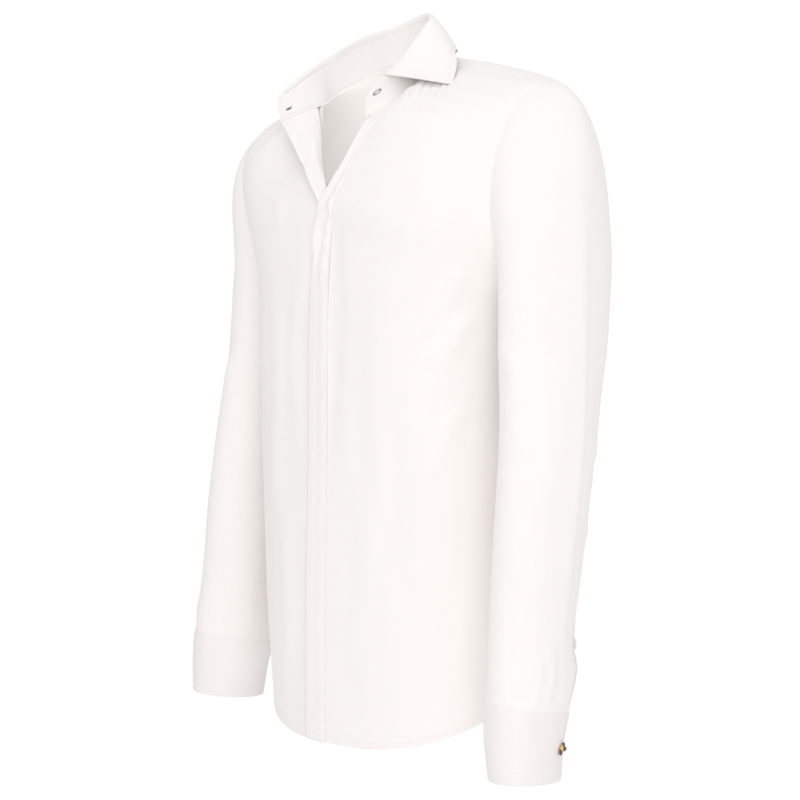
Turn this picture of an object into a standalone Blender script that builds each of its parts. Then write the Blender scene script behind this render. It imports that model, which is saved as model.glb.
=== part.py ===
"""Long sleeve dress shirt, worn shape with no wearer: every cut piece is its own cloth wall.

Metres, +Z up.  The wearer faces -Y and the wearer's left is +X.  The origin is the middle
of the line between the two shoulder points, where the wearer holds the shirt.
"""
import math

import bpy
import mathutils
import numpy as np

# ------------------------------------------------------------------ driving sizes
CLOTH = 0.0012            # one layer of shirting, as a wall
FUSED = 0.0022            # two layers with interlining: collar stand and cuffs
LEAF_CLOTH = 0.0016       # collar leaf
SEAM_GAP = 0.0003         # between neighbouring pieces

SHOULDER_X = 0.220        # shoulder point from the middle
PLACKET_WIDTH = 0.034
CUFF_HEIGHT = 0.066
CUFF_BOTTOM_Z = -0.650
CUFF_EASE = 0.0012                 # the cuff stands this much proud of the sleeve
CUFF_OVERLAP = math.radians(36)    # how far one cuff end passes over the other
CUFF_OPENING = math.radians(337)   # where the outer end of the cuff lies, as an armhole angle
SLEEVE_RING_Z = -0.250             # first level ring under the sleeve head
BUTTON_RADIUS = 0.0055
BUTTON_DEPTH = 0.0022
BUTTON_Z = -0.527
BUTTON_SEAT = 0.0030               # its underside from the middle of the sleeve's cloth
LINK_RADIUS = 0.0062
LINK_DEPTH = 0.0045
LINK_Z = -0.620

BODY_ROWS = 11            # grid steps from hem to armpit
ARMHOLE_FRONT = 11        # steps on the armhole: front, back, yoke behind and before the tip
ARMHOLE_BACK = 9
ARMHOLE_YOKE = 3
FRONT_COLUMNS = 9         # steps across one front
NECK_FRONT = 4            # steps on the neckline: one front, back neck, turned out facing
NECK_BACK = 10
NECK_FACING = 3
SLEEVE_ROWS = 11          # steps from the first level ring to the cuff
CAP_ROWS = 7              # steps from the armhole to the first level ring
GAUNTLET_ROWS = 4         # sleeve steps that the sleeve placket runs up from the cuff
GAUNTLET_COLUMNS = slice(20, 23)
CUFF_COLUMNS = 30

RIGHT_SWAY = 0.007        # the right upper arm hangs this much further back
SWAY_END_Z = -0.44        # and the forearms are alike from here down

# The right shoulder is carried a little forward and out.
CARRY = (-0.013, -0.018, 0.003)
CARRY_FROM_Z = -0.16
CARRY_FROM_X = -0.08


def table(columns, *rows):
    """A small table: one array for each named column."""
    return dict(zip(columns.split(), np.array(rows, dtype=float).T))


def point(columns, stem=""):
    """Three columns of a table as an array of points."""
    return np.stack([columns[stem + axis] for axis in "xyz"], axis=-1)


# Neckline, where the collar stand is sewn on, and the collar's fold line above it.
# station counts grid steps from the left stand end round the back to the right end.
COLLAR = table("station x y z fold_x fold_y fold_z",
               (0, .045, -.095, -.007, .043, -.097, .017),
               (1, .054, -.080, .004, .050, -.079, .034),
               (2, .062, -.062, .018, .057, -.064, .050),
               (3, .068, -.040, .035, .061, -.047, .073),
               (4, .069, -.018, .051, .058, -.028, .0935),
               (6.5, .046, .018, .066, .032, -.001, .1035),
               (9, .000, .034, .076, .000, .019, .1195),
               (11.5, -.048, .019, .070, -.043, .010, .111),
               (14, -.069, -.018, .052, -.066, -.023, .0965),
               (16, -.070, -.050, .034, -.077, -.055, .0750),
               (18, -.067, -.073, .019, -.086, -.079, .0575),
               (19.5, -.081, -.0935, .010, -.0955, -.0965, .0415),
               (21, -.102, -.1035, .003, -.1045, -.1095, .0285))

# Lower edge of the collar leaf, from the left collar point round to the right one.
LEAF_EDGE = table("station x y z",
                  (1, .1205, -.0490, .0192),
                  (2, .106, -.031, .040),
                  (4, .080, -.010, .063),
                  (6.5, .0495, .0205, .072),
                  (9, .000, .044, .072),
                  (11.5, -.060, .030, .072),
                  (14, -.098, -.006, .064),
                  (16, -.120, -.026, .056),
                  (18, -.140, -.038, .048),
                  (20, -.156, -.046, .042))

# Front edge of each front, from hem (level 0) to armpit height (1) to the yoke seam (2).
LEFT_EDGE = table("level x y z",
                  (0.00, -.017, -.131, -.650),
                  (0.30, -.017, -.131, -.520),
                  (0.60, -.017, -.128, -.370),
                  (1.00, -.017, -.126, -.205),
                  (1.20, -.014, -.124, -.135),
                  (1.30, -.004, -.125, -.098),
                  (1.36, .008, -.121, -.080),
                  (1.48, .025, -.112, -.052))
RIGHT_EDGE = table("level x y z",
                   (0.00, .013, -.1285, -.653),
                   (0.30, .013, -.1285, -.523),
                   (0.60, .013, -.1255, -.370),
                   (1.00, .013, -.1235, -.205),
                   (1.20, .014, -.1215, -.135),
                   (1.32, .006, -.119, -.092),
                   (1.40, -.014, -.109, -.066),
                   (1.52, -.042, -.091, -.030))
NECK_LEVEL = 1 + (ARMHOLE_FRONT - NECK_FRONT) / ARMHOLE_FRONT

# Free edge of the right front's facing, from the bottom of the open neck up to the stand.
FACING_EDGE = table("rise x y z",
                    (0, -.004, -.1280, -.094),
                    (.45, -.054, -.1135, -.042),
                    (1, -.102, -.1035, .003))

# Half sections of the fronts: how far the cloth runs straight out from the front edge
# (out, as a part of the half width) and forward from the side (wrap), and how much these
# two arms rise.
FRONT_SHAPE = table("level out out_y out_rise side wrap side_rise",
                    (0.00, .58, .000, -.008, .000, .086, -.048),
                    (0.15, .64, .000, -.003, .000, .092, -.034),
                    (0.40, .71, -.001, .000, .000, .094, -.010),
                    (0.70, .77, -.002, .000, .000, .099, .000),
                    (1.00, .76, -.005, .000, .004, .096, .002),
                    (1.25, .66, -.008, -.010, .022, .060, .006),
                    (1.55, .50, -.013, -.012, .046, .036, .016),
                    (1.80, .42, -.010, -.018, .048, .018, .013),
                    (2.00, .30, -.003, -.015, .040, .004, .015))

# Side seam from hem to armpit.
SIDE_SEAM = table("level x y z",
                  (0.00, .178, .000, -.589),
                  (0.25, .180, .001, -.505),
                  (0.55, .182, .001, -.375),
                  (0.80, .184, .002, -.280),
                  (1.00, .191, .003, -.205))

# Centre line of the back and the arms of its half sections; the back yoke seam is level 2.
BACK_SHAPE = table("level y z out wrap side_rise",
                   (0.00, .108, -.662, .74, .078, -.060),
                   (0.20, .106, -.570, .74, .076, -.030),
                   (0.55, .096, -.390, .74, .072, -.004),
                   (0.80, .102, -.290, .74, .076, .000),
                   (1.00, .110, -.205, .74, .078, .000),
                   (1.40, .118, -.115, .62, .048, .006),
                   (1.75, .110, -.040, .56, .034, .008),
                   (2.00, .094, -.002, .50, .026, .010))

# Armhole loop of the left side, from the shoulder point (0) round the front (90) and the
# armpit (180) to the back (270).
ARMHOLE = table("angle x",
                (0, SHOULDER_X), (30, .212), (60, .206), (90, .200), (135, .193), (180, .191),
                (225, .188), (270, .190), (315, .204), (360, SHOULDER_X))
ARMHOLE_Y = 0.003
ARMHOLE_Z = -0.0955
ARMHOLE_DEPTH_FRONT = 0.074
ARMHOLE_DEPTH_BACK = 0.056
ARMHOLE_HALF_HEIGHT = 0.1095
YOKE_FRONT_ANGLE = 12     # where the front yoke seam meets the armhole
YOKE_BACK_ANGLE = 309     # where the back yoke seam meets it
YOKE_FULLNESS = 0.45      # arms of the yoke's lines, as a part of their span
OVER_SHOULDER = np.array([.30, .90, .30])   # how the yoke's lines leave, left of the neck

# Level sections of the left sleeve, by their distance below the origin: middle, half width
# across and fore and aft, and turn in degrees.
SLEEVE = table("down x y half_x half_y turn",
               (.250, .2365, -.024, .0415, .0585, 0),
               (.330, .2440, -.036, .0405, .0530, 4),
               (.430, .2450, -.050, .0395, .0480, 10),
               (.530, .2460, -.062, .0370, .0460, 16),
               (.558, .2475, -.0635, .0370, .0485, 18),
               (.585, .2478, -.068, .0357, .0450, 20),
               (.600, .2480, -.071, .0350, .0440, 20),
               (.650, .2510, -.0745, .0305, .0398, 22))


# ------------------------------------------------------------------ curves and grids
def through(knots, values, at):
    """Smooth curve through the values: a cubic in each span, slopes from the neighbours."""
    knots = np.asarray(knots, float)
    values = np.asarray(values, float).reshape(len(knots), -1)
    at = np.asarray(at, float)
    slope = np.gradient(values, knots, axis=0)
    i = np.clip(np.searchsorted(knots, at, side="right") - 1, 0, len(knots) - 2)
    span = (knots[i + 1] - knots[i])[:, None]
    s = (at - knots[i])[:, None] / span
    start = values[i] * (1 + 2 * s) * (1 - s) ** 2 + slope[i] * span * s * (1 - s) ** 2
    end = values[i + 1] * (3 - 2 * s) * s ** 2 + slope[i + 1] * span * (s - 1) * s ** 2
    return start + end


def along(columns, knot, names, at):
    """Named columns of a table, read along its knot column at the given places."""
    values = np.stack([columns[name] for name in names.split()], axis=-1)
    result = through(columns[knot], values, at)
    return [result[:, k] for k in range(result.shape[1])]


def bezier(p0, p1, p2, p3, t):
    """Cubic from p0 to p3, leaving towards p1 and arriving from p2."""
    return (1 - t) ** 3 * p0 + 3 * (1 - t) ** 2 * t * p1 + 3 * (1 - t) * t ** 2 * p2 + t ** 3 * p3


def unit(vectors):
    return vectors / np.maximum(np.linalg.norm(vectors, axis=-1, keepdims=True), 1e-12)


def mirrored(points):
    return points * np.array([-1.0, 1.0, 1.0])


def smooth(x, start, end):
    """0 at start and before, 1 at end and past it, with no corner."""
    s = np.clip((x - start) / (end - start), 0, 1)
    return s * s * (3 - 2 * s)


def carried(points):
    """The points with the right shoulder carried forward; the rest stays where it is."""
    share = smooth(points[..., 2], CARRY_FROM_Z, 0) * smooth(points[..., 0], CARRY_FROM_X, -.19)
    return points + share[..., None] * np.array(CARRY)


class Piece:
    """A cut piece: a grid of points (rows, columns) and the way out of the cloth at each."""

    def __init__(self, points, outward, closed=False):
        self.points = points.copy()
        self.outward = outward
        self.closed = closed
        self.face()

    def face(self):
        """Work out the way out of the cloth from the grid's two directions."""
        points = self.points
        if self.closed:
            across = np.roll(points, -1, axis=1) - np.roll(points, 1, axis=1)
        else:
            across = np.gradient(points, axis=1)
        self.own_out = unit(np.cross(across, np.gradient(points, axis=0))) * self.outward
        self.out = self.own_out.copy()

    def carry(self):
        """Move the piece with the right shoulder."""
        self.points = carried(self.points)
        self.face()


def sew(a, a_edge, a_inside, b, b_edge):
    """Part two pieces along the seam that they share, and mitre their walls there.

    Both edges hold the same points.  The walls end in one common direction, and each edge
    draws back by half the seam gap.
    """
    out = unit(a.own_out[a_edge] + b.own_out[b_edge])
    seam = a.points[a_edge]
    side = unit(np.cross(unit(np.gradient(seam, axis=0)), out))
    if np.sum(side * (a.points[a_inside] - seam)) < 0:
        side = -side
    a.points[a_edge] = seam + side * SEAM_GAP / 2
    b.points[b_edge] = b.points[b_edge] - side * SEAM_GAP / 2
    a.out[a_edge] = out
    b.out[b_edge] = out


# ------------------------------------------------------------------ the shirt's surfaces
def neckline(station):
    return through(COLLAR["station"], point(COLLAR), station)


def fold_line(station):
    return through(COLLAR["station"], point(COLLAR, "fold_"), station)


def armhole(angle):
    """Left armhole: an upright oval whose x follows the table."""
    turn = np.radians(angle)
    depth = np.where(np.sin(turn) > 0, ARMHOLE_DEPTH_FRONT, ARMHOLE_DEPTH_BACK)
    y = ARMHOLE_Y - depth * np.sin(turn)
    z = ARMHOLE_Z + ARMHOLE_HALF_HEIGHT * np.cos(turn)
    (x,) = along(ARMHOLE, "angle", "x", angle)
    return np.stack([x, y, z], axis=-1)


def armhole_angles():
    """Angles of the armhole's grid points, from the shoulder point all the way round."""
    front = np.linspace(YOKE_FRONT_ANGLE, 180, ARMHOLE_FRONT + 1)
    back = np.linspace(180, YOKE_BACK_ANGLE, ARMHOLE_BACK + 1)
    yoke = np.linspace(YOKE_BACK_ANGLE, 360, ARMHOLE_YOKE + 1)
    return np.concatenate([[0], front, back[1:], yoke[1:-1]])


def front_levels():
    lower = np.linspace(0, 1, BODY_ROWS + 1)
    upper = np.linspace(1, 2, ARMHOLE_FRONT + 1)
    return np.concatenate([lower, upper[1:]])


def side_points(levels):
    """The panels' outer edge: the side seam up to level 1."""
    return through(SIDE_SEAM["level"], point(SIDE_SEAM), levels)


def front_piece(edge_table, neck_stations, sign):
    """One front: each row is a cubic from the front edge to the side seam or armhole."""
    levels = front_levels()
    free = levels < NECK_LEVEL - 1e-6
    knots = np.append(edge_table["level"], NECK_LEVEL)
    neck = neckline(neck_stations)
    edge_points = np.vstack([point(edge_table), neck[:1]])
    inner = np.vstack([through(knots, edge_points, levels[free]), neck])
    angles = armhole_angles()[1:ARMHOLE_FRONT + 2][::-1]
    outer = np.vstack([side_points(levels[:BODY_ROWS + 1]), armhole(angles)[1:]])
    outer = outer * np.array([sign, 1, 1])
    names = "out out_y out_rise side wrap side_rise"
    out, out_y, out_rise, side, wrap, side_rise = along(FRONT_SHAPE, "level", names, levels)
    reach = np.abs(outer[:, 0] - inner[:, 0])
    leave = inner + np.stack([sign * out * reach, out_y, out_rise], axis=-1)
    arrive = outer + np.stack([-sign * side, -wrap, side_rise], axis=-1)
    strip = PLACKET_WIDTH * np.interp(levels, [0, 1.25, 1.5, 2], [1, 1, .5, .4])
    strip_part = strip / (3 * out * reach + .004)
    start = np.stack([0 * strip_part, strip_part / 2, strip_part], axis=1)
    rest = np.linspace(0, 1, FRONT_COLUMNS - 1)[1:]
    t = np.hstack([start, strip_part[:, None] + (1 - strip_part[:, None]) * rest])[..., None]
    points = bezier(inner[:, None], leave[:, None], arrive[:, None], outer[:, None], t)
    return Piece(points, outward=sign)


def back_piece():
    """The back: each row is two cubics that meet on the centre line."""
    levels = np.concatenate([np.linspace(0, 1, BODY_ROWS + 1),
                             np.linspace(1, 2, ARMHOLE_BACK + 1)[1:]])
    angles = armhole_angles()[ARMHOLE_FRONT + 1:ARMHOLE_FRONT + ARMHOLE_BACK + 2]
    outer = np.vstack([side_points(levels[:BODY_ROWS + 1]), armhole(angles)[1:]])
    y, z, out, wrap, side_rise = along(BACK_SHAPE, "level", "y z out wrap side_rise", levels)
    centre = np.stack([0 * y, y, z], axis=-1)
    leave = centre + np.stack([out * outer[:, 0], 0 * y, 0 * y], axis=-1)
    side = np.interp(levels, [0, .9, 1.5, 2], [0, .002, .030, .036])
    arrive = outer + np.stack([-side, wrap, side_rise], axis=-1)
    steps = FRONT_COLUMNS + NECK_BACK // 2
    t = np.linspace(0, 1, steps + 1)[None, :, None]
    half = bezier(centre[:, None], leave[:, None], arrive[:, None], outer[:, None], t)
    points = np.concatenate([half[:, ::-1], mirrored(half[:, 1:])], axis=1)
    return Piece(points, outward=1)


def yoke_piece(left, right, back):
    """The yoke: front seams and back neck on one edge, back seam on the other.

    Its lines from front to back leave and arrive in line with the fronts and the back.
    """
    stations = np.linspace(NECK_FRONT, NECK_FRONT + NECK_BACK, NECK_BACK + 1)
    near = np.vstack([left.points[-1, ::-1], neckline(stations)[1:-1], right.points[-1]])
    far = back.points[-1]
    rise_left = unit(left.points[-1] - left.points[-2])[::-1]
    rise_right = unit(right.points[-1] - right.points[-2])
    width = FRONT_COLUMNS + 1
    to_neck = np.linspace(0, 1, width)[:, None] ** 2
    to_middle = 1 - np.abs(np.linspace(-1, 1, NECK_BACK + 1))[1:-1, None]
    fall = unit(far - near)[width:-width] + np.array([0, .10, .05])
    over_right = mirrored(OVER_SHOULDER)
    on_left = (np.arange(NECK_BACK - 1) < NECK_BACK // 2)[:, None]
    beside = np.where(on_left, OVER_SHOULDER, over_right)
    rise_neck = unit(fall * to_middle + beside * (1 - to_middle))
    rise = np.vstack([unit(rise_left * (1 - to_neck) + OVER_SHOULDER * to_neck), rise_neck,
                      unit(rise_right * (1 - to_neck[::-1]) + over_right * to_neck[::-1])])
    arrive = unit(back.points[-1] - back.points[-2])
    length = np.linalg.norm(far - near, axis=1, keepdims=True) * YOKE_FULLNESS
    depth = ARMHOLE_YOKE + 1
    t = np.linspace(0, 1, depth + 1)[:, None, None]
    points = bezier(near, near + rise * length, far + arrive * length, far, t)
    edge = armhole(armhole_angles()[-ARMHOLE_YOKE:])[::-1]
    rim = np.vstack([armhole([YOKE_FRONT_ANGLE]), armhole([0]), edge])
    for column, side in ((0, rim), (-1, mirrored(rim))):
        shift = side - points[:, column]
        for step, share in ((0, 1.0), (1, .55), (2, .2)):
            points[:, column + (step if column == 0 else -step)] += shift * share
    return Piece(points, outward=-1)


def sleeve_sections(z, turns, proud=0.0):
    """Ovals round the left arm, each square to the arm's line, at the given turns."""
    x, y, half_x, half_y, turn = along(SLEEVE, "down", "x y half_x half_y turn", -z)
    step = .004
    above = along(SLEEVE, "down", "x y", step - z)
    below = along(SLEEVE, "down", "x y", -step - z)
    lean_x = (below[0] - above[0])[:, None] / (2 * step)
    lean_y = (below[1] - above[1])[:, None] / (2 * step)
    across = (half_x[:, None] + proud) * np.cos(turns)
    fore = -(half_y[:, None] + proud) * np.sin(turns)
    twist = np.radians(turn)[:, None]
    dx = across * np.cos(twist) - fore * np.sin(twist)
    dy = across * np.sin(twist) + fore * np.cos(twist)
    dz = -lean_x * dx - lean_y * dy
    return np.stack([x[:, None] + dx, y[:, None] + dy, z[:, None] + dz], axis=-1)


def sleeve_piece(sway=0.0):
    """A sleeve: a head that turns down from the armhole, then level sections.

    It is the left one; sway moves the upper arm back.
    """
    angles = armhole_angles()
    turns = np.radians(angles)[None, :]
    end = CUFF_BOTTOM_Z + CUFF_HEIGHT + SEAM_GAP
    z = np.linspace(SLEEVE_RING_Z, end, SLEEVE_ROWS + 1)
    tube = sleeve_sections(z, turns)
    tube[..., 1] += sway * smooth(z, SWAY_END_Z, SLEEVE_RING_Z)[:, None]
    start = armhole(angles)
    top = np.cos(turns[0])[:, None]
    front = np.sin(turns[0])[:, None]
    way = unit(np.hstack([.78 + .06 * top, -.27 * front, -.60 + .22 * top]))
    reach = .036 + .032 * top
    lift = .048 + .042 * top
    rings = tube[0]
    t = (np.linspace(0, 1, CAP_ROWS + 1) ** 1.15)[:, None, None]
    up = rings + unit(tube[0] - tube[1]) * lift
    head = bezier(start, start + way * reach, up, rings, t)
    return Piece(np.vstack([head, tube[1:]]), outward=1, closed=True)


def moved_out(piece, rows, columns, layers):
    """A part of a piece's grid, moved out of its cloth by whole layers and their gap."""
    part = Piece(piece.points[rows, columns], 1)
    part.out = piece.out[rows, columns].copy()
    part.points = part.points + part.out * layers * (CLOTH + SEAM_GAP)
    return part


def cuff_piece():
    """The left cuff: a band once round the wrist whose inner end slips under the outer."""
    z = np.linspace(CUFF_BOTTOM_Z + CUFF_HEIGHT, CUFF_BOTTOM_Z, 4)
    turns = np.linspace(CUFF_OPENING, CUFF_OPENING + 2 * math.pi + CUFF_OVERLAP, CUFF_COLUMNS)
    full_turn = CUFF_OPENING + 2 * math.pi
    slip = smooth(turns, full_turn - math.radians(40), full_turn - math.radians(4))
    proud = CUFF_EASE - slip * (FUSED + 2 * SEAM_GAP)
    return Piece(sleeve_sections(z, turns[None, :], proud[None, :]), outward=1)


def on_sleeve(z, turn, proud):
    """A place on the left sleeve or cuff, and the way out of it there."""
    near = sleeve_sections(np.array([z]), np.array([[turn - .02, turn, turn + .02]]), proud)[0]
    below = sleeve_sections(np.array([z - .004]), np.array([[turn]]), proud)[0, 0]
    out = unit(np.cross(near[2] - near[0], below - near[1]))
    return near[1], out


def stand_piece():
    """Collar stand: a band from the neckline up to the fold."""
    station = np.arange(2 * NECK_FRONT + NECK_BACK + NECK_FACING + 1)
    low = neckline(station)
    high = fold_line(station)
    t = np.linspace(0, 1, 4)[:, None, None]
    return Piece(low * (1 - t) + high * t, outward=1)


def leaf_piece(stand):
    """Collar leaf: laid over the stand's upper edge and down to the leaf's own edge."""
    stations = np.arange(1, len(stand.points[0]) - 1)
    fold = stand.points[-1, 1:-1]
    side = stand.out[-1, 1:-1]
    out = unit(side * np.array([1, 1, .2]))
    up = unit(stand.points[-1, 1:-1] - stand.points[-2, 1:-1])
    crown = fold + up * (1.5 * SEAM_GAP + LEAF_CLOTH / 2)
    edge = through(LEAF_EDGE["station"], point(LEAF_EDGE), stations)
    shoulder = fold + side * .0028 + up * .0009
    drop = edge - shoulder
    arrive = edge - drop * .35 + out * .004
    roll = np.interp(stations, [3, 5, 13, 15], [.010, .002, .002, .010])[:, None]
    leave = shoulder + drop * .22 + out * roll
    t = np.linspace(0, 1, 5)[:, None, None]
    fall = bezier(shoulder, leave, arrive, edge, t)
    piece = Piece(np.concatenate([crown[None], fall]), outward=-1)
    piece.out[0] = up
    piece.out[1] = unit(side + up * .6)
    return piece


def facing_piece(right):
    """The right front's edge, turned out at the open neck: from the roll to its free edge."""
    rows = slice(BODY_ROWS + 4, len(right.points) - NECK_FRONT)
    roll = right.points[rows, 0] + right.out[rows, 0] * (CLOTH + 1.5 * SEAM_GAP)
    count = len(roll)
    rise = np.linspace(0, 1, count)
    free = through(FACING_EDGE["rise"], point(FACING_EDGE), rise)
    t = np.linspace(0, 1, NECK_FACING + 1)[None, :, None]
    lift = right.out[rows, 0][:, None] * .007
    points = bezier(roll[:, None], roll[:, None] + lift, free[:, None] + lift * .3,
                    free[:, None], t)
    last = 2 * NECK_FRONT + NECK_BACK
    top = neckline(np.arange(last, last + NECK_FACING + 1))
    points[-1] = np.vstack([top[:1] * .6 + top[1:2] * .4, top[1:]])
    return Piece(points, outward=1)


# ------------------------------------------------------------------ solids
def material(name, colour, roughness, metallic=0.0):
    finish = bpy.data.materials.new(name)
    finish.use_nodes = True
    shader = finish.node_tree.nodes["Principled BSDF"]
    shader.inputs["Base Color"].default_value = (*colour, 1.0)
    shader.inputs["Roughness"].default_value = roughness
    shader.inputs["Metallic"].default_value = metallic
    finish.diffuse_color = (*colour, 1.0)
    return finish


def shell(name, piece, finish, collection, wall=CLOTH):
    """Closed wall of a piece.  Its ends are mitred, which Solidify doesn't do, so the outer
    and the inner face are both laid from the grid and joined round the rim."""
    rows, columns = piece.points.shape[:2]
    outer = (piece.points + piece.out * wall / 2).reshape(-1, 3)
    inner = (piece.points - piece.out * wall / 2).reshape(-1, 3)
    index = np.arange(rows * columns).reshape(rows, columns)
    ring = np.hstack([index, index[:, :1]]) if piece.closed else index
    a, b, c, d = ring[:-1, :-1], ring[:-1, 1:], ring[1:, 1:], ring[1:, :-1]
    skin = np.concatenate([np.stack([a, b, c], -1).reshape(-1, 3),
                           np.stack([a, c, d], -1).reshape(-1, 3)])
    rims = [ring[0], ring[-1, ::-1]]
    if not piece.closed:
        rims += [ring[::-1, 0], ring[:, -1]]
    count = rows * columns
    sides = []
    for rim in rims:
        start, end = rim[:-1], rim[1:]
        sides.append(np.stack([start, start + count, end + count], -1))
        sides.append(np.stack([start, end + count, end], -1))
    faces = np.concatenate([skin, skin[:, ::-1] + count] + sides)
    mesh = bpy.data.meshes.new(name)
    mesh.from_pydata(np.vstack([outer, inner]).tolist(), [], faces.tolist())
    first = piece.points[rows // 2, columns // 2]
    normal = np.cross(outer[b[rows // 2, columns // 2]] - outer[a[rows // 2, columns // 2]],
                      outer[d[rows // 2, columns // 2]] - outer[a[rows // 2, columns // 2]])
    if normal @ piece.out[rows // 2, columns // 2] < 0:
        mesh.flip_normals()
    mesh.update()
    mesh.shade_smooth()
    mesh.set_sharp_from_angle(angle=math.radians(40))
    mesh.materials.append(finish)
    obj = bpy.data.objects.new(name, mesh)
    collection.objects.link(obj)
    return obj


def disc(name, centre, out, radius, depth, finish, collection):
    """A round fitting that sits on the cloth, its axis along the way out."""
    middle = centre + out * (depth / 2 + SEAM_GAP)
    turn = mathutils.Vector(out).to_track_quat("Z", "Y").to_euler()
    bpy.ops.mesh.primitive_cylinder_add(vertices=24, radius=radius, depth=depth,
                                        location=middle, rotation=turn)
    obj = bpy.context.object
    obj.name = name
    obj.data.materials.append(finish)
    rounding = obj.modifiers.new("rounded edge", "BEVEL")
    rounding.width = depth * .25
    rounding.segments = 2
    rounding.limit_method = "ANGLE"
    obj.data.shade_smooth()
    obj.data.set_sharp_from_angle(angle=math.radians(40))
    for holder in list(obj.users_collection):
        holder.objects.unlink(obj)
    collection.objects.link(obj)


def sew_shirt(left, right, back, yoke, stand, facing, sleeves):
    """All seams between the panels, the sleeves and the collar stand."""
    everything = slice(None)
    reverse = slice(None, None, -1)
    lower = slice(0, BODY_ROWS + 1)
    upper = slice(BODY_ROWS, None)
    neck = slice(-NECK_FRONT - 1, None)
    width = FRONT_COLUMNS + 1
    sew(left, (lower, -1), (lower, -2), back, (lower, 0))
    sew(right, (lower, -1), (lower, -2), back, (lower, -1))
    sew(left, (-1, reverse), (-2, reverse), yoke, (0, slice(0, width)))
    sew(right, (-1, everything), (-2, everything), yoke, (0, slice(-width, None)))
    sew(back, (-1, everything), (-2, everything), yoke, (-1, everything))
    front_arm = np.arange(ARMHOLE_FRONT + 1, 0, -1)
    back_arm = np.arange(ARMHOLE_FRONT + 1, ARMHOLE_FRONT + ARMHOLE_BACK + 2)
    yoke_arm = np.array([1, 0] + list(range(-1, -ARMHOLE_YOKE - 1, -1)))
    for sleeve, front, side, inside in ((sleeves[0], left, 0, 1), (sleeves[1], right, -1, -2)):
        sew(front, (upper, -1), (upper, -2), sleeve, (0, front_arm))
        sew(back, (upper, side), (upper, inside), sleeve, (0, back_arm))
        sew(yoke, (everything, side), (everything, inside), sleeve, (0, yoke_arm))
    first = NECK_FRONT
    last = NECK_FRONT + NECK_BACK
    sew(left, (neck, 0), (neck, 1), stand, (0, slice(0, first + 1)))
    sew(yoke, (0, slice(width - 1, width + NECK_BACK)), (1, slice(width - 1, width + NECK_BACK)),
        stand, (0, slice(first, last + 1)))
    sew(right, (neck, 0), (neck, 1), stand, (0, np.arange(last + NECK_FRONT, last - 1, -1)))
    tail = slice(last + NECK_FRONT + 1, None)
    corner = facing.points[-1, 0] - facing.points[-1, 1]
    sew(stand, (0, tail), (1, tail), facing, (-1, slice(1, None)))
    down = unit(facing.points[-2, 0] - facing.points[-1, 0])
    facing.points[-1, 0] = facing.points[-1, 1] + corner + down * FUSED / 2
    facing.out[-1, 0] = facing.out[-1, 1]


def main():
    for obj in list(bpy.data.objects):
        bpy.data.objects.remove(obj, do_unlink=True)
    collection = bpy.data.collections.new("long_sleeve_dress_shirt")
    bpy.context.scene.collection.children.link(collection)
    cloth = material("white shirting", (.90, .89, .88), .82)
    shell_white = material("white button", (.88, .87, .84), .35)
    metal = material("red brown and gold metal", (.42, .16, .09), .30, metallic=1.0)

    last_front = BODY_ROWS + ARMHOLE_FRONT
    left = front_piece(LEFT_EDGE, np.arange(0, NECK_FRONT + 1), 1)
    right_stations = np.arange(NECK_FRONT + NECK_BACK, 2 * NECK_FRONT + NECK_BACK + 1)[::-1]
    right = front_piece(RIGHT_EDGE, right_stations, -1)
    back = back_piece()
    yoke = yoke_piece(left, right, back)
    sleeve = sleeve_piece()
    mirror = Piece(mirrored(sleeve_piece(RIGHT_SWAY).points), -1, closed=True)
    stand = stand_piece()
    facing = facing_piece(right)
    leaf = leaf_piece(stand)
    for piece in (left, right, back, yoke, sleeve, mirror):
        piece.carry()
    sew_shirt(left, right, back, yoke, stand, facing, (sleeve, mirror))

    for name, piece in (("front_left", left), ("front_right", right), ("back", back),
                        ("yoke", yoke)):
        shell(name, piece, cloth, collection)
    shell("collar_stand", stand, cloth, collection, FUSED)
    shell("collar_leaf", leaf, cloth, collection, LEAF_CLOTH)
    shell("facing_right", facing, cloth, collection)
    placket = moved_out(left, slice(0, last_front - NECK_FRONT + 1), slice(0, 3), 1)
    shell("placket", placket, cloth, collection)

    cuff = cuff_piece()
    link_turn = CUFF_OPENING + CUFF_OVERLAP / 2
    button_turn = np.radians(armhole_angles()[21])
    flip = np.array([-1.0, 1.0, 1.0])
    for side, tube, way in (("left", sleeve, np.ones(3)), ("right", mirror, flip)):
        shell("sleeve_" + side, tube, cloth, collection)
        band = Piece(cuff.points * way, way[0])
        shell("cuff_" + side, band, cloth, collection, FUSED)
        strip = moved_out(tube, slice(-GAUNTLET_ROWS - 1, None), GAUNTLET_COLUMNS, 1)
        shell("gauntlet_" + side, strip, cloth, collection)
        place, out = on_sleeve(BUTTON_Z, button_turn, BUTTON_SEAT)
        disc("gauntlet_button_" + side, place * way, out * way, BUTTON_RADIUS, BUTTON_DEPTH,
             shell_white, collection)
        place, out = on_sleeve(LINK_Z, link_turn, CUFF_EASE + FUSED / 2)
        disc("cufflink_" + side, place * way, out * way, LINK_RADIUS, LINK_DEPTH, metal,
             collection)


main()
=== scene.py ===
# %% [markdown]
# # Long sleeve dress shirt
#
# A white cotton shirt with a spread collar, a fly placket that hides its buttons, and link
# cuffs.  It keeps the shape that it has when worn.  A shirt could be draped with a cloth
# simulation, but then its seams and folds fall where they like.  Here each cut piece is a
# surface worked out with numpy, so its edges meet the next piece's exactly.  Thread is laid
# over the seams, and soft lamps light the whole.
#
# Each piece made below stands for one of them.

# %% Load the solids
import math

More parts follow.
